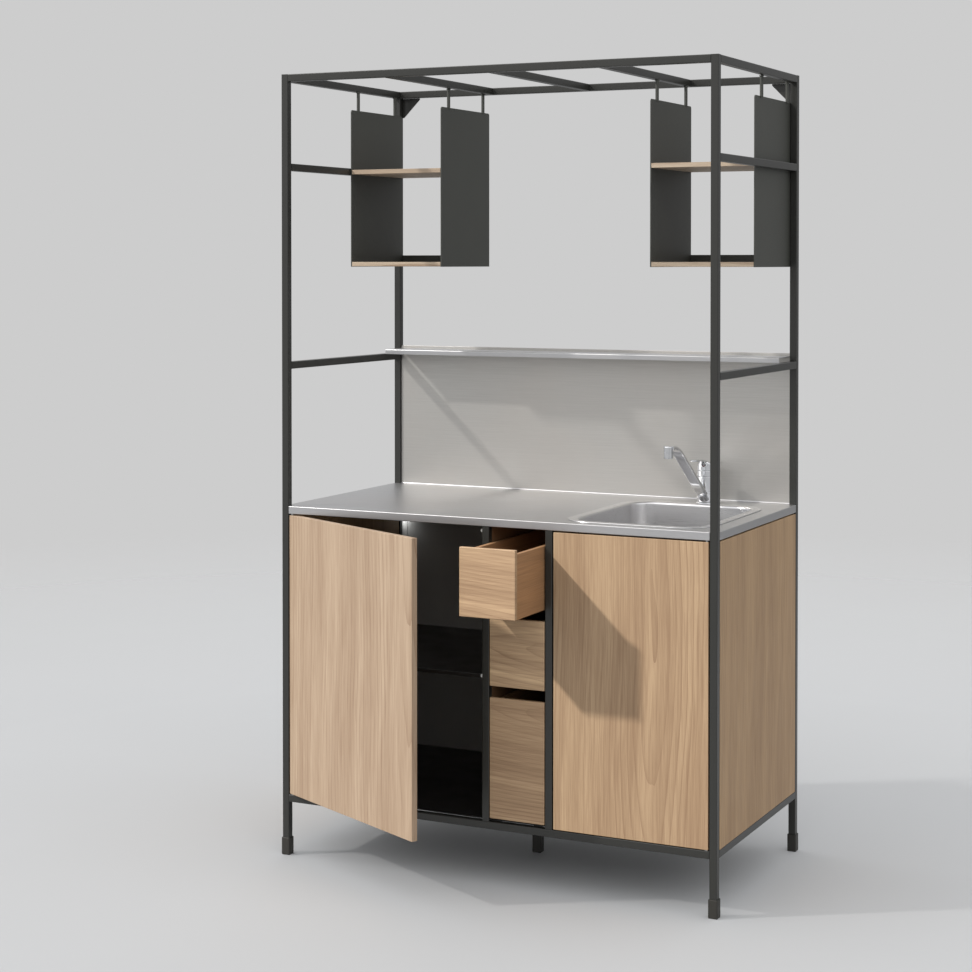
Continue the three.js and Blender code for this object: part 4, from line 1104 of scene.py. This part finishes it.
def tap_lever():
    """The cap, cut to a slope that rises from its back edge, with the flat lever that carries the
    slope on, and the small index dot."""
    low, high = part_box("tap_lever")
    x, y, _ = middle("tap_hub")
    radius, thick = TAP_RADIUS, 4.5 * MM
    wall, dome = 9, 17.5
    tip = low.y + 10 * MM
    crown, bend = (y - 14 * MM, low.z + 25 * MM), (y - 42 * MM, low.z + 30.5 * MM)
    profile = [(0, low.z), (radius - MM, low.z), (radius, low.z + MM), (radius, low.z + wall * MM)]
    for i in range(1, 10):
        angle = QUARTER * i / 9
        profile.append((radius * math.cos(angle), low.z + (wall + dome * math.sin(angle)) * MM))
    cap = turned("lever_cap", profile, (x, y, 0), 72)
    for _, height in profile[4:]:
        rise = (height - low.z) / (dome * MM) - wall / dome
        select(cap, "VERT", lambda point, z=height: abs(point.z - z) < 0.01 * MM)
        bpy.ops.transform.translate(value=(0, -17 * MM * rise**2, 0))
    rest()

    side = [(y + 2 * MM, low.z + 19 * MM), crown, bend, (tip, high.z), (low.y, high.z)]
    side += [(low.y, high.z - thick), (tip, high.z - thick), (bend[0], bend[1] - thick)]
    side += [(y - radius - MM, low.z + 21 * MM), (y + 2 * MM, low.z + 14 * MM)]
    blade = drawn("blade", [(x - 10 * MM, py, pz - 0.1 * MM) for py, pz in side], (20 * MM, 0, 0))
    near_tip = low.y + 5 * MM
    round_edges(blade, 9.8 * MM, 8, lambda a, b: upright(a, b) and max(a.y, b.y) < near_tip)
    softened(blade, 1.2 * MM, 3, 28)
    carved(cap, blade, operation="UNION")
    finished(cap, "chrome", "lever", "tap_lever", smooth=30)

    turn = math.radians(-6)
    out = Vector((-math.sin(turn), -math.cos(turn), 0))
    centre = Vector((x, y, low.z + 14 * MM)) + out * (radius + 0.3 * MM)
    dot = rod("index_dot", 4 * MM, centre - out * 3 * MM, centre, 32)
    softened(dot, 0.6 * MM, 2)
    return finished(dot, "index_enamel", "lever")


# ---- cabinet ------------------------------------------------------------------------------------


def board(name, finish, body, node_name, edge=None):
    piece = block(name, *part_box(node_name))
    softened(piece, edge or sizes().board_edge, 3)
    return finished(piece, finish, body, node_name)


def back_panel():
    """A coated sheet with a fine seam across it, between two bends of the same coat that come
    forward."""
    low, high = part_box("back_panel")
    piece = block("back_sheet", low, high)
    softened(piece, 0.5 * MM, 2)
    seam, groove = 663 * MM, 0.8 * MM
    place = (low.x + 20 * MM, low.y - MM, seam - groove)
    carved(piece, block("groove", place, (high.x - 20 * MM, low.y + groove, seam + groove)))
    finished(piece, "back_coat", "frame", "back_panel")
    radius, thick = sizes().back_bend, MM
    centre = (low.x + 14.6 * MM, low.y - radius)
    outline = arc(centre, radius, 1, 2, 12) + arc(centre, radius - thick, 2, 1, 12)
    points = [(x, y, low.z + 4 * MM) for x, y in outline]
    bend = drawn("back_bend_left", points, (0, 0, high.z - low.z - 5 * MM))
    finished(copied(bend, "back_bend_right", mirror=True), "back_coat", "frame")
    return finished(bend, "back_coat", "frame")


def inner_shelf():
    """A folded tray shelf: rounded folds all round, open underneath."""
    low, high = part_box("inner_shelf")
    piece = block("inner_tray", low, high)
    select(piece, "FACE", lambda centre, normal: normal.z < -0.9)
    bpy.ops.mesh.delete(type="FACE")
    rest()
    round_edges(piece, 2 * MM, 4, lambda a, b: max(a.z, b.z) > high.z - 0.1 * MM)
    modified(piece, "SOLIDIFY", thickness=1.5 * MM, offset=-1, use_even_offset=True)
    return finished(piece, "black_lacquer", "frame", "inner_shelf")


# ---- doors --------------------------------------------------------------------------------------


def door(side):
    """A door board with bores for its two pins, swung to where the frame holds it."""
    joint = next(j for j in frame["joints"] if j["child"] == f"{side}_door")
    pivot = Vector(joint["pos_m"])
    low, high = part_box(f"{side}_door")
    inset = pivot.y - FRONT
    edge = pivot.x - inset if side == "left" else pivot.x + inset
    width, thick = 557 * MM, 16 * MM
    x = (edge, edge + width) if side == "left" else (low.x, edge)
    piece = block(f"{side}_door_board", (x[0], FRONT, low.z), (x[1], FRONT + thick, high.z))
    bore, deep = 3.3 * MM, Vector((0, 0, 12.3 * MM))
    ends = [Vector((pivot.x, pivot.y, z)) for z in (low.z, high.z)]
    bores = [rod("bore", bore, end - deep, end + deep, 24) for end in ends]
    softened(piece, sizes().board_edge, 3)
    carved(piece, *bores)
    if side == "left":
        swung(piece, pivot, LEFT_DOOR_OPEN)
    return finished(piece, f"oak_{side}_door", f"{side}_door", f"{side}_door")


# ---- drawers ------------------------------------------------------------------------------------


def drawer_box(level):
    """Two side boards, a back board and a floor, with two cleats that straddle the guide."""
    node_name = f"{level}_drawer_box"
    low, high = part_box(node_name)
    wall, lift = 12 * MM, 12 * MM
    seam = 0.15 * MM
    centre = (low.x + high.x) / 2
    inside = (low.x + wall + seam, high.x - wall - seam)
    back, floor = high.y - wall, low.z + lift
    boards = [
        ((low.x, low.y, low.z), (low.x + wall, high.y, high.z)),
        ((high.x - wall, low.y, low.z), (high.x, high.y, high.z)),
        ((inside[0], back, floor), (inside[1], high.y, high.z)),
        ((inside[0], low.y, floor), (inside[1], back - seam, floor + 4 * MM)),
    ]
    for side in (-1, 1):
        inner = centre + side * 19 * MM
        outer = inner + side * 8 * MM
        x = (min(inner, outer), max(inner, outer))
        boards.append(((x[0], low.y + wall, low.z + 4 * MM), (x[1], back, floor - seam)))
    parts = [softened(block("board", a, b), 0.6 * MM, 2) for a, b in boards]
    return finished(joined(f"{level}_drawer_boards", parts), "oak_drawer_box", f"{level}_drawer", node_name)


# ---- hanging shelf units --------------------------------------------------------------------------


def hanging_plates(place):
    """A steel plate with two round upper corners, hung by two rods with collars from the rails
    above, and its mirror image."""
    name = f"hanging_plate_{place}_left"
    low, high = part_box(name)
    plate, radius, reach, collar = 3 * MM, 6 * MM, 4.5 * MM, 6 * MM
    top = high.z - 51.7 * MM
    outer = place == "outer"
    x = LEFT + TUBE + 0.5 * MM if outer else (low.x + high.x - plate) / 2
    rod_x = x + plate - reach if outer else x + plate / 2
    outline = [(low.y, low.z), (high.y, low.z)]
    outline += arc((high.y - radius, top - radius), radius, 0, 1, 6)
    outline += arc((low.y + radius, top - radius), radius, 1, 2, 6)
    sheet = drawn("plate", [(x, py, pz) for py, pz in outline], (plate, 0, 0))
    parts = [softened(sheet, sizes().sheet_edge, 2)]
    foot_z, neck = top - 3 * MM, high.z - 3 * MM
    profile = [(0, foot_z), (reach, foot_z), (reach, neck), (collar, neck + 0.6 * MM)]
    profile += [(collar, high.z), (0, high.z)]
    for y in (low.y + 45 * MM, high.y - 38 * MM):
        parts.append(turned("rod", profile, (rod_x, y, 0), 32))
    if outer:
        near = (low.x + plate + MM, high.y - 3 * MM, low.z)
        bar = block("strip", near, (high.x, high.y, low.z + 32 * MM))
        parts.append(softened(bar, sizes().sheet_edge, 2))
    both_sides(joined(name.replace("_", "-"), parts), "plate_coat", name)


# ---- operators ----------------------------------------------------------------------------------


class KITCHENETTE_OT_frame(bpy.types.Operator):
    """Build the square-tube frame with its gussets, divider posts and door buffers"""

    bl_idname = "kitchenette.frame"
    bl_label = "Frame"

    def execute(self, context):
        posts("front")
        posts("back")
        divider_posts()
        for level in ("side_rail_lower", "side_rail_upper", "bottom_rail"):
            rails(f"{level}_left")
        top_frame()
        base_frame()
        return {"FINISHED"}


class KITCHENETTE_OT_feet(bpy.types.Operator):
    """Build the five moulded feet"""

    bl_idname = "kitchenette.feet"
    bl_label = "Feet"

    def execute(self, context):
        feet()
        return {"FINISHED"}


class KITCHENETTE_OT_worktop(bpy.types.Operator):
    """Build the worktop, its cove, the splashback and the ledge"""

    bl_idname = "kitchenette.worktop"
    bl_label = "Worktop"

    def execute(self, context):
        worktop()
        cove()
        splashback()
        ledge()
        return {"FINISHED"}


class KITCHENETTE_OT_sink(bpy.types.Operator):
    """Build the sink bowl, its strainer and the waste trap"""

    bl_idname = "kitchenette.sink"
    bl_label = "Sink"

    def execute(self, context):
        sink_bowl()
        strainer()
        waste_trap()
        return {"FINISHED"}


class KITCHENETTE_OT_tap(bpy.types.Operator):
    """Build the mixer tap: pillar, spout, collar and lever"""

    bl_idname = "kitchenette.tap"
    bl_label = "Tap"

    def execute(self, context):
        tap_body()
        tap_spout()
        tap_hub()
        tap_lever()
        return {"FINISHED"}


class KITCHENETTE_OT_cabinet(bpy.types.Operator):
    """Build the panels, partitions, inner shelf and the fixed steel parts inside"""

    bl_idname = "kitchenette.cabinet"
    bl_label = "Cabinet"

    def execute(self, context):
        for side in SIDES:
            board(f"side_board_{side}", f"oak_side_{side}", "frame", f"side_panel_{side}")
            board(f"partition_board_{side}", "oak_partition", "frame", f"partition_{side}")
        board("base_sheet", "black_lacquer", "frame", "base_panel", 0.5 * MM)
        back_panel()
        inner_shelf()
        return {"FINISHED"}


class KITCHENETTE_OT_doors(bpy.types.Operator):
    """Build the two doors and dress their pins"""

    bl_idname = "kitchenette.doors"
    bl_label = "Doors"

    def execute(self, context):
        for side in SIDES:
            door(side)
            for level in ("lower", "upper"):
                dress(f"door_pivot_{level}_{side}", "zinc_plate")
        return {"FINISHED"}


class KITCHENETTE_OT_drawers(bpy.types.Operator):
    """Build the three drawers and dress their guides"""

    bl_idname = "kitchenette.drawers"
    bl_label = "Drawers"

    def execute(self, context):
        for level in ("top", "middle", "bottom"):
            name = f"{level}_drawer_front"
            board(f"{level}_drawer_face", f"oak_{level}_front", f"{level}_drawer", name, sizes().front_edge)
            drawer_box(level)
        for name in ("top_drawer_carrier", "middle_drawer_carrier", "bottom_drawer_guide"):
            dress(name, "black_lacquer")
        return {"FINISHED"}


class KITCHENETTE_OT_hanging(bpy.types.Operator):
    """Build the two hanging shelf units"""

    bl_idname = "kitchenette.hanging"
    bl_label = "Hanging units"

    def execute(self, context):
        hanging_plates("outer")
        hanging_plates("inner")
        for side in SIDES:
            for level in ("lower", "middle"):
                name = f"hanging_shelf_{level}_{side}"
                board(f"{level}_shelf_{side}", "oak_shelf", "frame", name)
        return {"FINISHED"}


def dress(node_name, finish):
    """Gives a node of the frame that is shown as it is its finish."""
    data = frame["nodes"][node_name].data
    data.materials.clear()
    data.materials.append(surface(finish))


class KITCHENETTE_OT_stage(bpy.types.Operator):
    """Set up the camera, the lights, the backdrop and the floor"""

    bl_idname = "kitchenette.stage"
    bl_label = "Stage"

    def execute(self, context):
        scene = context.scene
        stage = scene.kitchenette_stage
        rest()
        bpy.ops.object.camera_add(location=CAMERA_PLACE)
        camera = context.active_object
        camera.rotation_euler = (QUARTER + CAMERA_TILT, 0, CAMERA_YAW)
        camera.data.lens = CAMERA_LENS
        camera.data.shift_y = CAMERA_SHIFT
        camera.data.clip_end = 100
        scene.camera = camera

        bpy.ops.object.light_add(type="SUN", location=-SUN_TRAVELS * 5)
        sun = context.active_object
        sun.rotation_mode = "QUATERNION"
        sun.rotation_quaternion = SUN_TRAVELS.to_track_quat("-Z", "Y")
        sun.data.energy = stage.sun
        sun.data.angle = stage.sun_angle
        sun.data.color = (1.0, 0.975, 0.94)
        scene.world = bpy.data.worlds.new("studio")
        scene.world.use_nodes = True
        self.sky(scene.world.node_tree, stage)
        bpy.ops.mesh.primitive_plane_add(size=60)
        floor = context.active_object
        floor.name = "floor"
        floor.data.materials.append(self.floor_paint(stage))
        self.share(sun, stage)
        self.bay_light(stage)
        scene.view_settings.view_transform = "Standard"
        return {"FINISHED"}

    def share(self, sun, stage):
        """The key light in three parts: the floor gets less of it, the pieces beside the open door
        get more, and the door throws no shadow on those."""
        rest_of_it = bpy.data.collections.new("rest_of_it")
        parts = (
            ("beside_the_door", ("right_door_board", "top_drawer_face"), stage.sun_on_doors),
            ("ground", ("floor",), stage.sun_on_floor),
        )
        for name, pieces, portion in parts:
            group = bpy.data.collections.new(name)
            for piece in pieces:
                group.objects.link(bpy.data.objects[piece])
                rest_of_it.objects.link(bpy.data.objects[piece])
            activate(sun)
            bpy.ops.object.duplicate()
            part = bpy.context.active_object
            part.name = f"sun_{name}"
            part.data.energy = sun.data.energy * portion
            part.light_linking.receiver_collection = group
        door = bpy.data.collections.new("door")
        door.objects.link(bpy.data.objects["left_door_board"])
        bpy.data.objects["sun_beside_the_door"].light_linking.blocker_collection = door
        for group in (rest_of_it, door):
            for member in group.collection_objects:
                member.light_linking.link_state = "EXCLUDE"
        sun.light_linking.receiver_collection = rest_of_it

    def bay_light(self, stage):
        """A faint fill in the back corner of the open bay, on the back panel alone."""
        low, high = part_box("back_panel")
        place = (low.x - 4 * MM, low.y - 22 * MM, high.z - 90 * MM)
        bpy.ops.object.light_add(type="POINT", location=place)
        fill = bpy.context.active_object
        fill.name = "bay_fill"
        fill.data.energy = stage.bay
        fill.data.shadow_soft_size = 5 * MM
        group = bpy.data.collections.new("back")
        for piece in ("back_sheet", "back_bend_left"):
            group.objects.link(bpy.data.objects[piece])
        fill.light_linking.receiver_collection = group

    def sky(self, tree, stage):
        """A dome that is brightest half way up; the camera itself sees the plain backdrop."""
        background = tree.nodes["Background"]
        way = node(tree, "ShaderNodeTexCoord").outputs["Generated"]
        parts = node(tree, "ShaderNodeSeparateXYZ", {0: way}).outputs
        behind = spread(tree, parts["Y"], -0.2, 0.5, 1.0, stage.behind)
        ramp = node(tree, "ShaderNodeValToRGB", {0: parts["Z"]})
        stops = ramp.color_ramp.elements
        levels = (stage.horizon, stage.low, stage.half, stage.high, stage.overhead)
        for i, level in enumerate(levels):
            stop = stops[0] if i == 0 else stops[-1] if i == 4 else stops.new(i / 4)
            stop.color = (*[level * part / max(levels) for part in (0.985, 0.99, 1.0)], 1)
        tree.links.new(ramp.outputs[0], background.inputs["Color"])
        inputs = {0: behind, 1: max(levels)}
        level = node(tree, "ShaderNodeMath", inputs, operation="MULTIPLY").outputs[0]
        tree.links.new(level, background.inputs["Strength"])
        seen = node(tree, "ShaderNodeBackground", {"Color": (*stage.backdrop, 1)})
        camera_ray = node(tree, "ShaderNodeLightPath").outputs["Is Camera Ray"]
        inputs = {0: camera_ray, 1: background.outputs[0], 2: seen.outputs[0]}
        both = node(tree, "ShaderNodeMixShader", inputs)
        tree.links.new(both.outputs[0], tree.nodes["World Output"].inputs["Surface"])

    def floor_paint(self, stage):
        """Matt studio floor paint that fades into the backdrop far from the unit."""
        made, tree, shader, place = material("studio_floor", stage.floor, Roughness=0.7, IOR=1.3)
        away = node(tree, "ShaderNodeVectorMath", {0: place}, operation="LENGTH").outputs["Value"]
        fade = spread(tree, away, 2.2, 6.5)
        cloud = grain(tree, place, EVEN, 1.2)
        tone = tuple(c * 1.03 for c in stage.floor)
        tree.links.new(mixed(tree, cloud, (*stage.floor, 1), (*tone, 1)), shader.inputs["Base Color"])
        clear = node(tree, "ShaderNodeBsdfTransparent")
        inputs = {0: fade, 1: shader.outputs[0], 2: clear.outputs[0]}
        both = node(tree, "ShaderNodeMixShader", inputs)
        tree.links.new(both.outputs[0], tree.nodes["Material Output"].inputs["Surface"])
        return made


OPERATORS = (
    KITCHENETTE_OT_frame,
    KITCHENETTE_OT_feet,
    KITCHENETTE_OT_worktop,
    KITCHENETTE_OT_sink,
    KITCHENETTE_OT_tap,
    KITCHENETTE_OT_cabinet,
    KITCHENETTE_OT_doors,
    KITCHENETTE_OT_drawers,
    KITCHENETTE_OT_hanging,
    KITCHENETTE_OT_stage,
)
GROUPS = {
    "kitchenette_sizes": KitchenetteSizes,
    "kitchenette_colours": KitchenetteColours,
    "kitchenette_stage": KitchenetteStage,
}


class KITCHENETTE_PT_panel(bpy.types.Panel):
    """Lists the sizes, colours and building steps of the kitchenette unit"""

    bl_idname = "KITCHENETTE_PT_panel"
    bl_label = "Kitchenette"
    bl_space_type = "VIEW_3D"
    bl_region_type = "UI"
    bl_category = "Kitchenette"

    def draw(self, context):
        for group in GROUPS:
            column = self.layout.column(align=True)
            values = getattr(context.scene, group)
            for name in values.__annotations__:
                column.prop(values, name)
        for operator in OPERATORS:
            self.layout.operator(operator.bl_idname)


CLASSES = (*GROUPS.values(), *OPERATORS, KITCHENETTE_PT_panel)


def register():
    for item in CLASSES:
        bpy.utils.register_class(item)
    for name, group in GROUPS.items():
        setattr(bpy.types.Scene, name, PointerProperty(type=group))


def unregister():
    for name in GROUPS:
        delattr(bpy.types.Scene, name)
    for item in reversed(CLASSES):
        bpy.utils.unregister_class(item)


def main():
    register()
    for operator in OPERATORS:
        name = operator.bl_idname.split(".")[1]
        getattr(bpy.ops.kitchenette, name)()
    rest()


if __name__ == "__main__":
    main()
